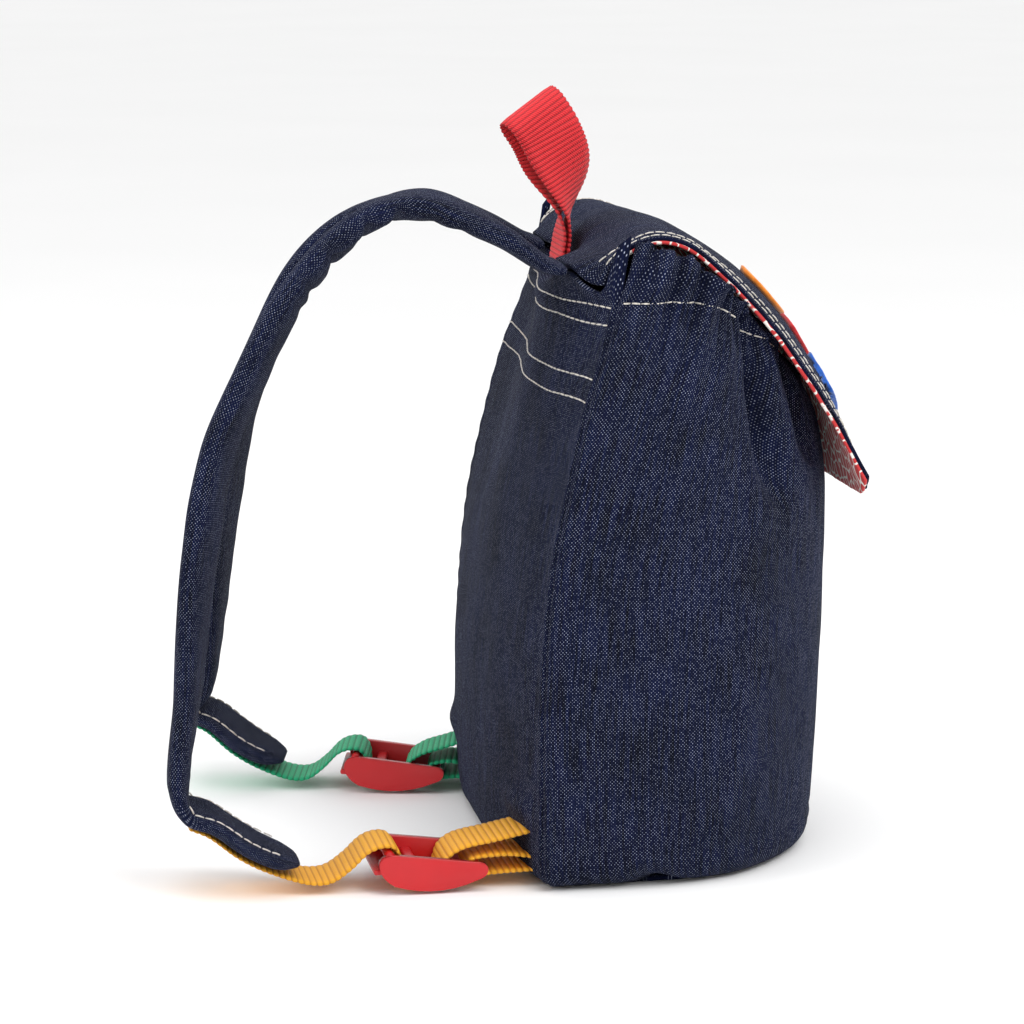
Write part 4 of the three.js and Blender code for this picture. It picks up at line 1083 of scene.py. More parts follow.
@dataclass
class Bag:
    """The panel, the back and the base."""

    form: BagForm
    denim: bpy.types.Material
    thread: bpy.types.Material
    columns: int = 310
    rows: int = 150

    def build(self) -> None:
        """Makes the three pieces and their stitching."""
        form = self.form
        panel = grid_mesh(self.columns, self.rows, form.panel)
        body = finish_piece("bag_body", panel, self.denim)
        thicken(body, form.cloth)
        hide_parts("body_panel")

        back_mesh = grid_mesh(110, 140, form.back_cloth, flip=True)
        back = finish_piece("bag_back", back_mesh, self.denim)
        thicken(back, form.cloth)
        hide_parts("back_panel")
        self.base()
        self.stitching()

    def base(self) -> None:
        """The flat base inside the hem."""
        form = self.form
        made = bmesh.new()
        uv = made.loops.layers.uv.new("UVMap")
        count = 160
        ring = bmesh.ops.create_circle(made, cap_ends=True, radius=1, segments=count)["verts"]
        turn = form.cloth + 1.2
        for i, vert in enumerate(ring):
            angle = math.atan2(vert.co.y, vert.co.x)
            vert.co = self.rim(angle, turn) * MM
        made.faces.ensure_lookup_table()
        face = made.faces[0]
        for inset in (0.006, 0.03):
            bmesh.ops.inset_region(
                made, faces=[face], thickness=inset, use_even_offset=False, use_boundary=True
            )
        for face in made.faces:
            for loop in face.loops:
                loop[uv].uv = loop.vert.co.xy
        bmesh.ops.reverse_faces(made, faces=made.faces)
        base = finish_piece("bag_base", made, self.denim)
        thicken(base, form.cloth)
        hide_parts("base_panel")

    def rim(self, angle: float, inside: float) -> Vector:
        """The base's rim in a direction from the middle."""
        form = self.form
        size = form.section(form.hem_lift)
        direction = Vector((math.cos(angle), math.sin(angle)))
        if direction.y >= 0:
            line = [form.back(share, form.hem_lift).xy for share in shares(60, -1, 1)]
        else:
            line = []
        line += [form.outline(share, size) for share in shares(200)]
        best = max(line, key=lambda p: p.normalized().dot(direction))
        reach = best.length - inside
        return Vector((direction.x * reach, direction.y * reach, 0.0))

    def stitching(self) -> None:
        """The rows on the back and the row under the gathers."""
        form = self.form
        rows = Stitcher("stitching_back", 3)
        for z in BACK_ROWS:
            spots = []
            for share in shares(60, 0.012, 0.988):
                wave = z + 0.8 * lump((2 * share - 1) * 3, z, 2)
                spots.append((share, (wave - form.hem_lift) / (form.back_top - form.hem_lift)))
            rows.on_surface(form.back_cloth, spots, flip=True)
        rows.finish(self.thread)
        casing = Stitcher("stitching_casing", 5)
        level = (form.height - form.hem_lift) / (form.mouth - form.hem_lift)
        casing.on_surface(form.panel, [(share, level) for share in shares(360, 0.004, 0.996)])
        casing.finish(self.thread)


@dataclass
class Flap:
    """The flap, its lining and the felt on it."""

    form: BagForm
    denim: bpy.types.Material
    lining: bpy.types.Material
    thread: bpy.types.Material
    felt: dict[str, bpy.types.Material]
    felt_thickness: float = 2
    felt_lift: float = 0.2
    felt_rings: tuple[float, ...] = (0.06, 0.24, 0.3)
    felt_sides: int = 48
    felt_round: float = 0.35
    lining_start: float = 0.02

    def __post_init__(self) -> None:
        """Starts an empty store for the profile's smooth lines, which line works out for each share of the width
        when first asked.
        """
        self.lines: dict[float, Path] = {}

    def line(self, share: float) -> Path:
        """The flap's outer face from the back's edge to its lip, at a share of its half width."""
        key = round(share, 5)
        if key not in self.lines:
            form = self.form
            x = share * form.flap_width / 2
            edge = form.back_edge(x / form.top_half)
            rear = Vector((x, edge.y - form.gap, edge.z + form.gap + form.stack))
            rest = form.flap_profile(share)
            rounding = form.corner_radius * ease(abs(share), 0.82, 1.06) ** 2
            rest[-1].z += rounding - form.lip_curve * (1 - share * share)
            self.lines[key] = Path([rear, *rest])
        return self.lines[key]

    def place(self, a: float, b: float) -> Vector:
        """The flap's outside at shares of its width and length."""
        share = 2 * a - 1
        point = self.line(share).point(b)
        near_edge = (1 - abs(share)) * self.form.flap_width / 2
        soft = 0.8 * lump(share * 2.2, b * 3, 37) * ease(near_edge, 0, 20)
        small = 0.25 * lump(share * 12, b * 14, 41)
        ridge = 0.35 * bump(near_edge, 2.0, 1.6) - 0.25 * bump(near_edge, 4.2, 1.2)
        ridge = ridge - 0.8 * (1 - ease(near_edge, 0, 8))
        return point + self.normal(share, b) * (soft + small + ridge)

    def normal(self, share: float, b: float) -> Vector:
        """The direction out of the flap's plain face."""
        step = 0.01
        along = self.line(share).tangent(clamp(b, step, 1 - step))
        return along.cross(Vector((1, 0, 0))).normalized()

    def under(self, depth: float, proud: float) -> Place:
        """A face below the flap's outside that stands proud of its sides and lip.

        Args:
            depth: how far below, in millimetres.
            proud: how far it reaches past the edges.

        Returns:
            The face as a function of two shares.
        """

        def place(a: float, b: float) -> Vector:
            share = 2 * a - 1
            b = lerp(self.lining_start, 1, b)
            point = self.place(a, b) - self.normal(share, b) * depth
            point.x += proud * share
            point += self.line(share).tangent(0.99) * (proud * ease(b, 0.9, 1.0))
            return point

        return place

    def build(self) -> None:
        """Makes the flap, the lining, the stitching and the felt."""
        form = self.form
        length = self.line(1.0).length
        size = (form.flap_width, length)
        flap = finish_piece("flap_cloth", grid_mesh(110, 130, self.place, size, flip=True), self.denim)
        thicken(flap, form.flap_thickness)
        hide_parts("flap")
        under = self.under(form.flap_thickness + 0.15, 0.7)
        lining = finish_piece("flap_lining_cloth", grid_mesh(110, 130, under, size, flip=True), self.lining)
        thicken(lining, form.lining_thickness)
        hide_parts("flap_lining")
        self.stitching(length)
        for shape in FELT_SHAPES:
            self.felt_piece(shape, length)

    def stitching(self, length: float) -> None:
        """Two rows along the flap's sides and lip."""
        rows = Stitcher("stitching_flap", 7)
        half = self.form.flap_width / 2
        for inset in (3.0, 8.0):
            edge = inset / (2 * half)
            end = 1 - inset / length
            corner = 8.0
            spots = [(edge, b) for b in shares(70, 0.05, end - corner / length)]
            for turn in shares(8)[1:-1]:
                angle = turn * math.pi / 2
                a = edge + corner * (1 - math.cos(angle)) / (2 * half)
                spots.append((a, end - corner * (1 - math.sin(angle)) / length))
            spots += [(a, end) for a in shares(50, edge + corner / (2 * half), 0.5)]
            spots += [(1 - a, b) for a, b in reversed(spots[:-1])]
            rows.on_surface(self.place, spots, flip=True)
        rows.finish(self.thread)

    def felt_piece(self, shape: FeltShape, length: float) -> None:
        """One felt shape, cut from a flat plate and laid on the flap."""
        form = self.form
        made = bmesh.new()
        bmesh.ops.create_circle(made, cap_ends=True, radius=1, segments=self.felt_sides)
        made.faces.ensure_lookup_table()
        face = made.faces[0]
        for inset in self.felt_rings:
            bmesh.ops.inset_region(
                made, faces=[face], thickness=inset, use_even_offset=False, use_boundary=True
            )
        turn = math.radians(shape.turn)
        for vert in made.verts:
            rim = vert.co.length > 1 - self.felt_rings[0] / 2
            flat = vert.co * shape.reach(math.atan2(vert.co.y, vert.co.x))
            x = flat.x * math.cos(turn) - flat.y * math.sin(turn)
            y = flat.x * math.sin(turn) + flat.y * math.cos(turn)
            a = (1 + shape.across) / 2 + x / form.flap_width
            b = shape.along + y / length
            rounded = self.felt_round if rim else 0
            uneven = 0.15 * lump(x * 0.4, y * 0.4, 43)
            lift = self.felt_lift + self.felt_thickness - rounded + uneven
            vert.co = (self.place(a, b) + self.normal(2 * a - 1, b) * lift) * MM
        bmesh.ops.reverse_faces(made, faces=made.faces)
        piece = finish_piece(shape.node + "_cut", made, self.felt[shape.colour])
        thicken(piece, self.felt_thickness)
        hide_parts(shape.node)


class FeltShape(NamedTuple):
    """A felt shape: its place on the flap, its radius in millimetres, its corners, its turn in degrees."""

    node: str
    colour: str
    across: float
    along: float
    size: float
    corners: int
    turn: float

    def reach(self, angle: float) -> float:
        """How far it reaches at an angle from its middle."""
        if not self.corners:
            return self.size
        sector = 2 * math.pi / self.corners
        within = angle % sector
        sharp = self.size * math.cos(sector / 2) / math.cos(within - sector / 2)
        return min(sharp, self.size * 0.93)


FELT_SHAPES = (
    FeltShape("felt_disc_orange", "orange", -0.38, 0.525, 11, 0, 0),
    FeltShape("felt_square_red", "red", -0.2, 0.665, 13, 4, 20),
    FeltShape("felt_triangle_blue", "blue", -0.56, 0.77, 14, 3, 60),
    FeltShape("felt_disc_blue", "blue", 0.46, 0.55, 10, 0, 0),
    FeltShape("felt_triangle_orange", "orange", 0.42, 0.78, 14, 3, 10),
)


# Straps, webbing, buckles and the loop.


class Side(Enum):
    """The wearer's two sides."""

    LEFT = -1
    RIGHT = 1


class Spot(NamedTuple):
    """A place behind the buckle's rear end, as shares of the rails' length and height."""

    ahead: float
    up: float


class StrapRow(NamedTuple):
    """A row of a padded strap: shares of its reach, its root's height, its spread and its thickness."""

    out: float
    up: float
    spread: float
    thick: float


class Pucker(NamedTuple):
    """A pinch in a strap's inner face: its distance from the root, its depth and its width in millimetres."""

    run: float
    depth: float
    width: float


class TailRow(NamedTuple):
    """A row of the strap's tail: a place behind the buckle, and shares of the strap's width and thickness."""

    ahead: float
    up: float
    width: float
    thick: float


STRAP_ROWS = (
    StrapRow(0.035, 1.006, 0, 0.6),
    StrapRow(0.152, 1.056, 0, 0.85),
    StrapRow(0.332, 1.105, 0.05, 1),
    StrapRow(0.456, 1.095, 0.15, 1),
    StrapRow(0.573, 1.048, 0.25, 1),
    StrapRow(0.7, 0.953, 0.38, 1),
    StrapRow(0.798, 0.838, 0.5, 1),
    StrapRow(0.88, 0.722, 0.6, 1),
    StrapRow(0.936, 0.545, 0.74, 0.95),
    StrapRow(0.972, 0.331, 0.87, 0.9),
    StrapRow(1, 0.188, 0.97, 0.8),
)
PUCKERS = (
    Pucker(42, 0.7, 4),
    Pucker(56, 0.8, 4),
    Pucker(70, 3, 2.7),
    Pucker(82.5, 2.7, 2.5),
    Pucker(98, 2.4, 2.5),
    Pucker(111.5, 2, 2.7),
    Pucker(119, 1.2, 3),
    Pucker(140, 0.5, 5),
)
TAIL_ROWS = (
    TailRow(2.725, 2.37, 1, 0.55),
    TailRow(2.48, 2.05, 1, 0.6),
    TailRow(2.2, 1.44, 1, 0.66),
    TailRow(1.95, 1.04, 0.92, 0.66),
    TailRow(1.7, 0.8, 0.66, 0.45),
)
WEBBING_ROUTE = (
    Spot(1.6, 0.33),
    Spot(1.42, 0.36),
    Spot(1.25, 0.68),
    Spot(1.08, 1.13),
    Spot(0.955, 1.262),
    Spot(0.85, 1.23),
    Spot(0.79, 0.98),
    Spot(0.775, 0.6),
    Spot(0.74, 0.3),
    Spot(0.66, 0.13),
    Spot(0.54, 0.085),
    Spot(0.44, 0.2),
    Spot(0.4, 0.5),
    Spot(0.36, 0.83),
    Spot(0.24, 1.1),
)
REAR_BAR, MIDDLE_BAR, FRONT_BAR, TAB = Spot(0.09, 0.62), Spot(0.66, 0.66), Spot(0.89, 1.02), Spot(0.93, 0.62)
RAIL_START = Spot(0, 0.62)
RAIL_OUTLINE = (
    (Spot(0, 0.42), Spot(0.1, 0.34)),
    (Spot(0.35, 0.02), Spot(0.62, 0.02), Spot(0.86, 0.26)),
    (Spot(1, 0.5), Spot(1, 0.86)),
    (Spot(0.98, 1.1), Spot(0.88, 1.1)),
    (Spot(0.08, 0.8),),
    (Spot(0, 0.78), RAIL_START),
)


class Station(NamedTuple):
    """A station of a swept piece: its middle, its width's direction and its section across and out."""

    point: Vector
    wide: Vector
    section: Sequence[tuple[float, float]]


def swept_mesh(stations: Sequence[Station], size: tuple[float, float] | None = None) -> bmesh.types.BMesh:
    """A closed piece swept through its stations.

    Args:
        stations: from one end to the other, each with a section of the same count.
        size: the length round the section and along the piece in millimetres for its UV map,
            or none to measure it.

    Returns:
        The mesh.
    """
    rings = []
    for i, station in enumerate(stations):
        before, after = stations[max(i - 1, 0)].point, stations[min(i + 1, len(stations) - 1)].point
        forward = (after - before).normalized()
        wide = (station.wide - forward * station.wide.dot(forward)).normalized()
        out = forward.cross(wide)
        rings.append([station.point + wide * across + out * lift for across, lift in station.section])
    sides = len(rings[0])

    def place(a: float, b: float) -> Vector:
        return rings[round(b * (len(rings) - 1))][round(a * sides) % sides]

    made = grid_mesh(sides, len(rings) - 1, place, size)
    close_tube(made)
    return made


@dataclass
class Tape:
    """Ribbed webbing in millimetres."""

    width: float = 25
    thickness: float = 1.5
    pitch: float = 2.4
    per_rib: int = 6
    face_points: int = 8

    def section(self, run: float) -> list[tuple[float, float]]:
        """The section at a distance along the tape."""
        rib = abs(math.cos(math.pi * run / self.pitch)) ** 0.7
        half = self.thickness / 2 * (0.5 + 0.5 * rib)
        reach = self.width / 2 - 0.5 + 0.5 * rib
        points = []
        for i in range(self.face_points + 1):
            across = lerp(-1, 1, i / self.face_points)
            points.append((across * reach, -half * (1 - 0.45 * abs(across) ** 10)))
        for i in range(self.face_points + 1):
            across = lerp(1, -1, i / self.face_points)
            points.append((across * reach, half * (1 - 0.45 * abs(across) ** 10)))
        return points

    def mesh(self, path: Path, wide: Vector) -> bmesh.types.BMesh:
        """The tape along a path, with its width in one direction."""
        count = int(path.length / self.pitch * self.per_rib)
        stations = []
        for i in range(count + 1):
            share = i / count
            stations.append(Station(path.point(share), wide, self.section(share * path.length)))
        return swept_mesh(stations, (2 * self.width, path.length))


@dataclass
class Harness:
    """One side's padded strap, webbing and buckle."""

    form: BagForm
    side: Side
    reach: float
    rise: float
    standoff: float
    slack: float
    twist: float
    splay: float
    denim: bpy.types.Material
    webbing: bpy.types.Material
    webbing_slot: str
    plastic: bpy.types.Material
    thread: bpy.types.Material
    tape: Tape = field(default_factory=Tape)
    strap_width: float = 40
    strap_thickness: float = 10
    root_x: float = 45
    root_back: float = 0.9
    root_up: float = 1
    webbing_x: float = 72
    rail_length: float = 40
    rail_height: float = 13.5
    rail_thickness: float = 4
    rail_play: float = 0.9
    bar_radius: float = 1.8
    run_in: float = 4
    sewn_in: float = 0.4
    stations: int = 330
    sides: int = 48

    def __post_init__(self) -> None:
        """Works out where the strap starts and the buckle stands."""
        form = self.form
        self.label = self.side.name.lower()
        self.foot = form.back_surface(self.webbing_x, self.rail_height)
        self.root = form.back_edge(self.side.value * self.root_x / form.top_half)
        self.root += Vector((0, self.root_back, self.root_up))
        self.anchor = Vector((self.side.value * self.webbing_x, self.foot, 0))
        angle = math.radians(self.splay)
        there, back = Matrix.Translation(self.anchor), Matrix.Translation(-self.anchor)
        self.turn = there @ Matrix.Rotation(angle, 4, "Z") @ back
        self.wide = Vector((math.cos(angle), math.sin(angle), 0))
        self.buckle_y = self.foot + self.standoff

    def at(self, y: float, z: float) -> Vector:
        """A point over the webbing's line at a depth and a height."""
        return self.turn @ Vector((self.anchor.x, y, z))

    def spot(self, row: Any) -> Vector:
        """A place behind the buckle."""
        slack = self.slack if row.ahead > 1 else 1
        ahead = (1 + (row.ahead - 1) * slack) * self.rail_length
        return self.at(self.buckle_y + ahead, row.up * self.rail_height)

    def build(self) -> None:
        """Makes the four pieces."""
        self.strap()
        self.strap_webbing()
        self.anchor_webbing()
        self.buckle()

    def strap_knots(self) -> tuple[Path, list[tuple[float, float, float]]]:
        """The strap's line, and each knot's width, thickness and twist."""
        tail = self.spot(TAIL_ROWS[0])
        points = [self.root.copy()]
        facts = [(1.0, 0.45, 0.0)]
        for row in STRAP_ROWS:
            x = lerp(self.root.x, tail.x, row.spread)
            up = 1 + (row.up - 1) * self.rise if row.up > 1 else row.up
            points.append(Vector((x, self.root.y + row.out * self.reach, up * self.root.z)))
            twist = self.twist * ease(row.out, 0.1, 0.35) * (1 - 0.6 * ease(row.out, 0.93, 1))
            facts.append((1.0, row.thick, twist))
        for row in TAIL_ROWS:
            points.append(self.spot(row))
            facts.append((row.width, row.thick, self.splay))
        return Path(points), facts

    def strap_section(self, width: float, thick: float, run: float) -> list[tuple[float, float]]:
        """The strap's rounded section, pinched here and there on its inner face.

        Args:
            width: its width in millimetres.
            thick: its thickness.
            run: the distance from its root.

        Returns:
            Points across and out, the inner face being out.
        """
        points = []
        for i in range(self.sides):
            angle = 2 * math.pi * i / self.sides
            cosine, sine = math.cos(angle), math.sin(angle)
            across = math.copysign(abs(cosine) ** 0.55, cosine)
            lift = math.copysign(abs(sine) ** 0.75, sine)
            inner = ease(sine, -0.35, 0.4)
            slant = run + 3.0 * across * lump(run * 0.03, 1.5, 61)
            pucker = sum(row.depth * bump(slant, row.run, row.width) for row in PUCKERS) * inner
            pucker *= 0.7 + 0.3 * abs(across)
            outer = 0.3 * lump(run * 0.05, across * 2, 53)
            crumple = 0.4 * lump(run * 0.09, across * 2, 59) * inner
            reach = across * (width / 2 - 0.25 * pucker)
            points.append((reach, lift * thick / 2 - pucker + outer * (1 - inner) + crumple))
        return points

    def strap(self) -> None:
        """The padded strap."""
        path, facts = self.strap_knots()
        stations = []
        last = len(facts) - 1
        for i in range(self.stations + 1):
            share = i / self.stations
            knot = path.knot(share)
            k = min(int(knot), last - 1)
            width, thick, twist = (lerp(facts[k][n], facts[k + 1][n], knot - k) for n in range(3))
            angle = math.radians(twist)
            run = share * path.length
            rounding = math.sqrt(clamp((1 - share) * path.length / 6.0))
            section = self.strap_section(
                width * self.strap_width * lerp(0.62, 1, rounding),
                thick * self.strap_thickness * lerp(0.35, 1, rounding),
                run,
            )
            wide = Vector((math.cos(angle), math.sin(angle), 0))
            stations.append(Station(path.point(share), wide, section))
        made = swept_mesh(stations)
        piece = finish_piece(f"strap_{self.label}", made, self.denim)
        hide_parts(f"shoulder_strap_{self.label}")
        self.strap_stitching(path, facts)

    def strap_stitching(self, path: Path, facts: list[tuple[float, float, float]]) -> None:
        """A row along each edge of the strap's tail."""
        rows = Stitcher(f"stitching_strap_{self.label}", 11)
        last = len(facts) - 1
        for edge in (-1, 1):
            line, normals = [], []
            for share in shares(40, 0.86, 0.975):
                knot = path.knot(share)
                k = min(int(knot), last - 1)
                width, thick, twist = (lerp(facts[k][n], facts[k + 1][n], knot - k) for n in range(3))
                angle = math.radians(twist)
                forward = path.tangent(share)
                wide = Vector((math.cos(angle), math.sin(angle), 0))
                wide = (wide - forward * wide.dot(forward)).normalized()
                out = forward.cross(wide)
                across = edge * (width * self.strap_width / 2 - 4.5)
                aside = abs(across) / (width * self.strap_width / 2)
                lift = thick * self.strap_thickness / 2 * (1 - aside**4) ** 0.4
                line.append(path.point(share) + wide * across + out * (lift + 0.1))
                normals.append(out)
            rows.row(line, normals)
        rows.finish(self.thread)

    def seat(self, made: bmesh.types.BMesh) -> None:
        """Lays the webbing's ends on the bag's back."""
        for vert in made.verts:
            point = vert.co / MM
            surface = self.form.back_surface(point.x, clamp(point.z, 1, 200))
            vert.co.y = max(point.y, surface - self.sewn_in) * MM

    def tape_piece(self, name: str, points: Sequence[Vector]) -> bpy.types.Object:
        """A piece of the side's webbing."""
        made = self.tape.mesh(Path(points), self.wide)
        self.seat(made)
        piece = finish_piece(name, made, self.webbing)
        return piece

    def strap_webbing(self) -> None:
        """The webbing from under the strap's tail, through the buckle and on to the bag."""
        under = []
        for i, row in enumerate(TAIL_ROWS[1:-1]):
            along = (self.spot(TAIL_ROWS[i]) - self.spot(TAIL_ROWS[i + 2])).normalized()
            clear = (self.strap_thickness * row.thick + self.tape.thickness) / 2 + 0.7
            under.append(self.spot(row) + along.cross(self.wide) * clear)
        bend = self.spot(TAIL_ROWS[0]) + Vector((0, 3.2, -3.2))
        start = under[0].lerp(bend, 0.6)
        last = WEBBING_ROUTE[-1]
        seat = self.foot - self.run_in
        finish = [
            self.at(
                lerp(self.buckle_y + last.ahead * self.rail_length, seat, share),
                lerp(last.up, 1.55, share) * self.rail_height,
            )
            for share in (0.5, 1.0)
        ]
        lowest = 0.35 + self.tape.thickness / 2
        points = [start, *under, *(self.spot(row) for row in WEBBING_ROUTE), *finish]
        for point in points:
            point.z = max(point.z, lowest)
        piece = self.tape_piece(f"webbing_{self.label}", points)
        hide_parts(f"strap_webbing_{self.label}")

    def anchor_webbing(self) -> None:
        """The short webbing from the bag's foot round the buckle's rear bar and back."""
        bar_y = self.buckle_y + REAR_BAR.ahead * self.rail_length
        bar_z = REAR_BAR.up * self.rail_height
        around = self.bar_radius + self.form.gap + self.tape.thickness / 2
        slant = around * math.sqrt(0.5)
        seat = self.foot - self.run_in
        points = [
            (seat, bar_z + around - 0.6),
            ((seat + bar_y) / 2, bar_z + around + 0.8),
            (bar_y, bar_z + around),
            (bar_y + slant, bar_z + slant),
            (bar_y + around, bar_z),
            (bar_y + slant, bar_z - slant),
            (bar_y, bar_z - around),
            ((seat + bar_y) / 2, bar_z - around + 0.3),
            (seat, bar_z - around + 0.6),
        ]
        piece = self.tape_piece(f"anchor_{self.label}", [self.at(y, z) for y, z in points])
        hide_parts(f"anchor_webbing_{self.label}")

    def rail_outline(self) -> list[tuple[float, float]]:
        """The rails' outline in the y-z plane."""

        def drawn(row: Spot) -> Vector:
            return Vector((self.buckle_y + row.ahead * self.rail_length, row.up * self.rail_height))

        line = [drawn(RAIL_START)]
        for rows in RAIL_OUTLINE:
            knots = [line[-1], *(drawn(row) for row in rows)]
            steps = 1 if len(knots) == 2 else 7
            for t in shares(steps)[1:]:
                level = knots
                while len(level) > 1:
                    level = [a.lerp(b, t) for a, b in zip(level, level[1:])]
                line.append(level[0])
        return [(p.x, p.y) for p in line[:-1]]

    def buckle(self) -> None:
        """Two boat-shaped rails, three bars across and a lifting tab."""
        made = bmesh.new()
        inside = self.tape.width / 2 + self.rail_play
        for left in (self.anchor.x - inside - self.rail_thickness, self.anchor.x + inside):
            verts = [made.verts.new((left, y, z)) for y, z in self.rail_outline()]
            face = made.faces.new(verts)
            region = bmesh.ops.extrude_face_region(made, geom=[face])
            moved = [item for item in region["geom"] if isinstance(item, bmesh.types.BMVert)]
            bmesh.ops.translate(made, verts=moved, vec=(self.rail_thickness, 0, 0))
            rims = [edge for edge in made.edges if edge.is_valid and self.on_rim(edge, left)]
            bmesh.ops.bevel(made, geom=rims, offset=1.5, segments=5, affect="EDGES", profile=0.5, material=-1)
        span = 2 * inside + self.rail_thickness
        for row in (REAR_BAR, FRONT_BAR):
            self.bar(made, row, span)
        self.plate(made, MIDDLE_BAR, span, 4.0, 2.4)
        self.plate(made, TAB, span, 9.0, 2.0)
        bmesh.ops.recalc_face_normals(made, faces=made.faces)
        bmesh.ops.transform(made, matrix=Matrix.Scale(MM, 4) @ self.turn, verts=made.verts)
        piece = finish_piece(f"buckle_{self.label}_moulding", made, self.plastic)
        even = piece.modifiers.new("even", "WEIGHTED_NORMAL")
        even.keep_sharp = True
        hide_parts(f"buckle_{self.label}")

    def on_rim(self, edge: bmesh.types.BMEdge, left: float) -> bool:
        """Whether an edge runs round one of a rail's two flat faces."""
        ends = [vert.co.x for vert in edge.verts]
        level = abs(ends[0] - ends[1]) < 1e-6
        return level and min(abs(ends[0] - left), abs(ends[0] - left - self.rail_thickness)) < 1e-6

    def bar(self, made: bmesh.types.BMesh, row: Spot, span: float) -> None:
        """A round bar across the buckle."""
        radius = self.bar_radius
        new = bmesh.ops.create_cone(
            made, cap_ends=True, segments=24, radius1=radius, radius2=radius, depth=span
        )["verts"]
        bmesh.ops.rotate(made, verts=new, matrix=Matrix.Rotation(math.pi / 2, 3, "Y"))
        middle = (self.anchor.x, self.buckle_y + row.ahead * self.rail_length, row.up * self.rail_height)
        bmesh.ops.translate(made, verts=new, vec=middle)

    def plate(self, made: bmesh.types.BMesh, row: Spot, span: float, length: float, thickness: float) -> None:
        """A flat bar across the buckle, with rounded edges."""
        new = bmesh.ops.create_cube(made, size=1)["verts"]
        bmesh.ops.scale(made, verts=new, vec=(span, length, thickness))
        edges = {edge for vert in new for edge in vert.link_edges}
        ahead = row.ahead * self.rail_length
        middle = Vector((self.anchor.x, self.buckle_y + ahead, row.up * self.rail_height))
        bmesh.ops.translate(made, verts=new, vec=middle)
        bmesh.ops.bevel(
            made, geom=list(edges), offset=thickness * 0.4, segments=3, affect="EDGES", profile=0.5, material=-1
        )


@dataclass
class HangLoop:
    """The twisted loop of webbing at the top."""

    form: BagForm
    webbing: bpy.types.Material
    tape: Tape = field(default_factory=lambda: Tape(pitch=1.9))
    height: float = 59
    opening: float = 11
    root_lift: float = 1
    twist: float = -80
    lean: float = 12

    def build(self) -> None:
        """Makes the loop."""
        form, tape = self.form, self.tape
        root = form.back_edge(-tape.width / 2 / form.top_half)
        rows = ((0, 0), (0.3, -0.18), (0.55, -0.05), (0.8, 0.38), (1, 1))
        y = root.y + tape.thickness + 2 * form.gap
        axis = Path(
            [Vector((0, y + back * self.lean, root.z + self.root_lift + up * self.height)) for up, back in rows]
        )
        fold_from = 1 - self.opening / 2 / self.height
        legs = {side: [self.station(axis, s, side) for s in shares(120, 0, fold_from)] for side in (-1, 1)}
        front, rear = legs[-1], legs[1][::-1]
        middle = front[-1][0].lerp(rear[0][0], 0.5)
        aside = rear[0][0] - middle
        upward = self.slope(axis, fold_from) * aside.length
        top = []
        for share in shares(40)[1:-1]:
            angle = math.pi * (1 - share)
            top.append((middle + aside * math.cos(angle) + upward * math.sin(angle), front[-1][1]))
        line = [*front, *top, *rear]
        runs = [0.0]
        for a, b in zip(line, line[1:]):
            runs.append(runs[-1] + (b[0] - a[0]).length)
        total = runs[-1]
        count = int(total / tape.pitch * tape.per_rib)
        stations = []
        for i in range(count + 1):
            run = total * i / count
            k = next((n for n, end in enumerate(runs) if end > run), len(runs) - 1)
            share = clamp((run - runs[k - 1]) / (runs[k] - runs[k - 1]))
            point, wide = (line[k - 1][n].lerp(line[k][n], share) for n in range(2))
            stations.append(Station(point, wide, tape.section(run)))
        made = swept_mesh(stations, (2 * tape.width, total))
        piece = finish_piece("loop_webbing", made, self.webbing)
        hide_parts("hang_loop")

    def slope(self, axis: Path, share: float) -> Vector:
        """The axis's direction at a share between its knots."""
        knot = share * (len(axis.points) - 1)
        step = 0.01
        return (axis.at_knot(knot) - axis.at_knot(knot - step)).normalized()

    def station(self, axis: Path, share: float, side: int) -> tuple[Vector, Vector]:
        """A leg's middle and width at a share of the loop's height."""
        point = axis.at_knot(share * (len(axis.points) - 1))
        forward = self.slope(axis, max(share, 0.01))
        angle = math.radians(self.twist * ease(share, 0.1, 0.75))
        wide = Vector((math.cos(angle), math.sin(angle), 0))
        wide = (wide - forward * wide.dot(forward)).normalized()
        apart = forward.cross(wide)
        closed = (self.tape.thickness + self.form.gap) / 2
        half = lerp(closed, self.opening / 2, ease(share, 0.1, 0.7))
        return point + apart * (side * half), wide


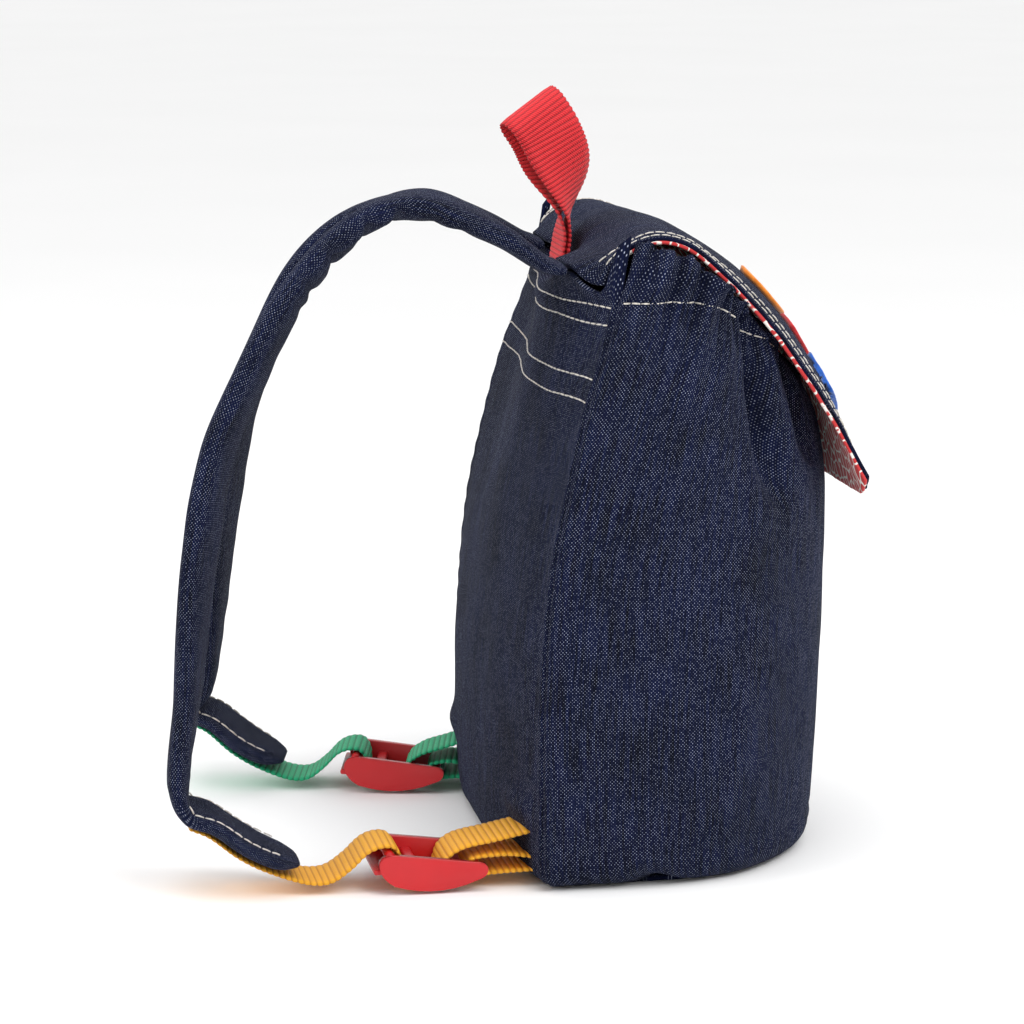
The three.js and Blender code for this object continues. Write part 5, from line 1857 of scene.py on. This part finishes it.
@dataclass
class Studio:
    """The camera, the lights and the floor, in metres."""

    azimuth: float = 260
    elevation: float = 10
    distance: float = 1.5
    lens: float = 135.2
    sensor: float = 36
    target: tuple[float, float, float] = (0.0270, 0.0438, 0.1196)

    def direction(self, azimuth: float, elevation: float) -> Vector:
        """The direction from the bag towards a viewer."""
        a, e = math.radians(azimuth), math.radians(elevation)
        return Vector((math.sin(a) * math.cos(e), -math.cos(a) * math.cos(e), math.sin(e)))

    def camera(self) -> None:
        """The camera at the photograph's angle."""
        data = bpy.data.cameras.new("camera")
        data.lens = self.lens
        data.sensor_width = self.sensor
        camera = bpy.data.objects.new("camera", data)
        back = self.direction(self.azimuth, self.elevation)
        camera.location = Vector(self.target) + back * self.distance
        camera.rotation_euler = (-back).to_track_quat("-Z", "Y").to_euler()
        bpy.context.scene.collection.objects.link(camera)
        bpy.context.scene.camera = camera

    def light(
        self, name: str, azimuth: float, elevation: float, distance: float, size: float, power: float
    ) -> None:
        """A square soft light that faces the bag."""
        data = bpy.data.lights.new(name, "AREA")
        data.size = size
        data.energy = power
        lamp = bpy.data.objects.new(name, data)
        back = self.direction(azimuth, elevation)
        lamp.location = Vector(self.target) + back * distance
        lamp.rotation_euler = (-back).to_track_quat("-Z", "Y").to_euler()
        bpy.context.scene.collection.objects.link(lamp)

    def build(self, floor: bpy.types.Material) -> None:
        """Sets up the camera, the lights, the floor and the sky."""
        self.camera()
        self.light("key", 300, 42, 1.5, 0.8, 9)
        self.light("rear", 190, 30, 1.4, 0.7, 5)
        self.light("top", 250, 80, 1.5, 1.0, 5)
        world = bpy.data.worlds.new("sky")
        world.use_nodes = True
        shade = world.node_tree.nodes["Background"]
        shade.inputs["Color"].default_value = (1, 1, 1, 1)
        shade.inputs["Strength"].default_value = 0.95
        bpy.context.scene.world = world
        bpy.context.scene.view_settings.view_transform = "Standard"
        made = bmesh.new()
        bmesh.ops.create_grid(made, x_segments=2, y_segments=2, size=40)
        mesh = bpy.data.meshes.new("floor")
        made.to_mesh(mesh)
        made.free()
        mesh.materials.append(floor)
        ground = bpy.data.objects.new("floor", mesh)
        bpy.context.scene.collection.objects.link(ground)


def main() -> None:
    """Builds the dressed bag and its studio."""
    logging.basicConfig(level=logging.INFO, format="%(message)s")
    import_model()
    finish = Finish(Effects())
    denim = DenimLook().build(finish)
    thread = ThreadLook().build(finish)
    plastic = PlasticLook().build(finish)
    lining = PrintLook().build(finish)
    # Each webbing's second colour is the painted shade of its grooves.
    yellow = WebbingLook("webbing_yellow", tone("ffb81e"), tone("c8780e")).build(finish)
    green = WebbingLook("webbing_green", tone("10b47c"), tone("056a45")).build(finish)
    red = WebbingLook("webbing_red", tone("dc1a24"), tone("860b14"), 1.9).build(finish)
    felt = {
        "orange": FeltLook("felt_orange", tone("f28c1e"), tone("d0700f")).build(finish),
        "red": FeltLook("felt_red", tone("d8262c"), tone("a9161c")).build(finish),
        "blue": FeltLook("felt_blue", tone("1467cf"), tone("0c4ea6")).build(finish),
    }
    form = BagForm()
    Studio().build(FloorLook().build(finish))
    Bag(form, denim, thread).build()
    Flap(form, denim, lining, thread, felt).build()
    Harness(form, Side.LEFT, 144, 1, 14.7, 1, -18, 0, denim, yellow, "webbing_yellow", plastic, thread).build()
    Harness(form, Side.RIGHT, 127, 0.6, 4.8, 0.9, -20, -12, denim, green, "webbing_green", plastic, thread).build()
    HangLoop(form, red).build()
    bpy.context.view_layer.update()


if __name__ == "__main__":
    main()
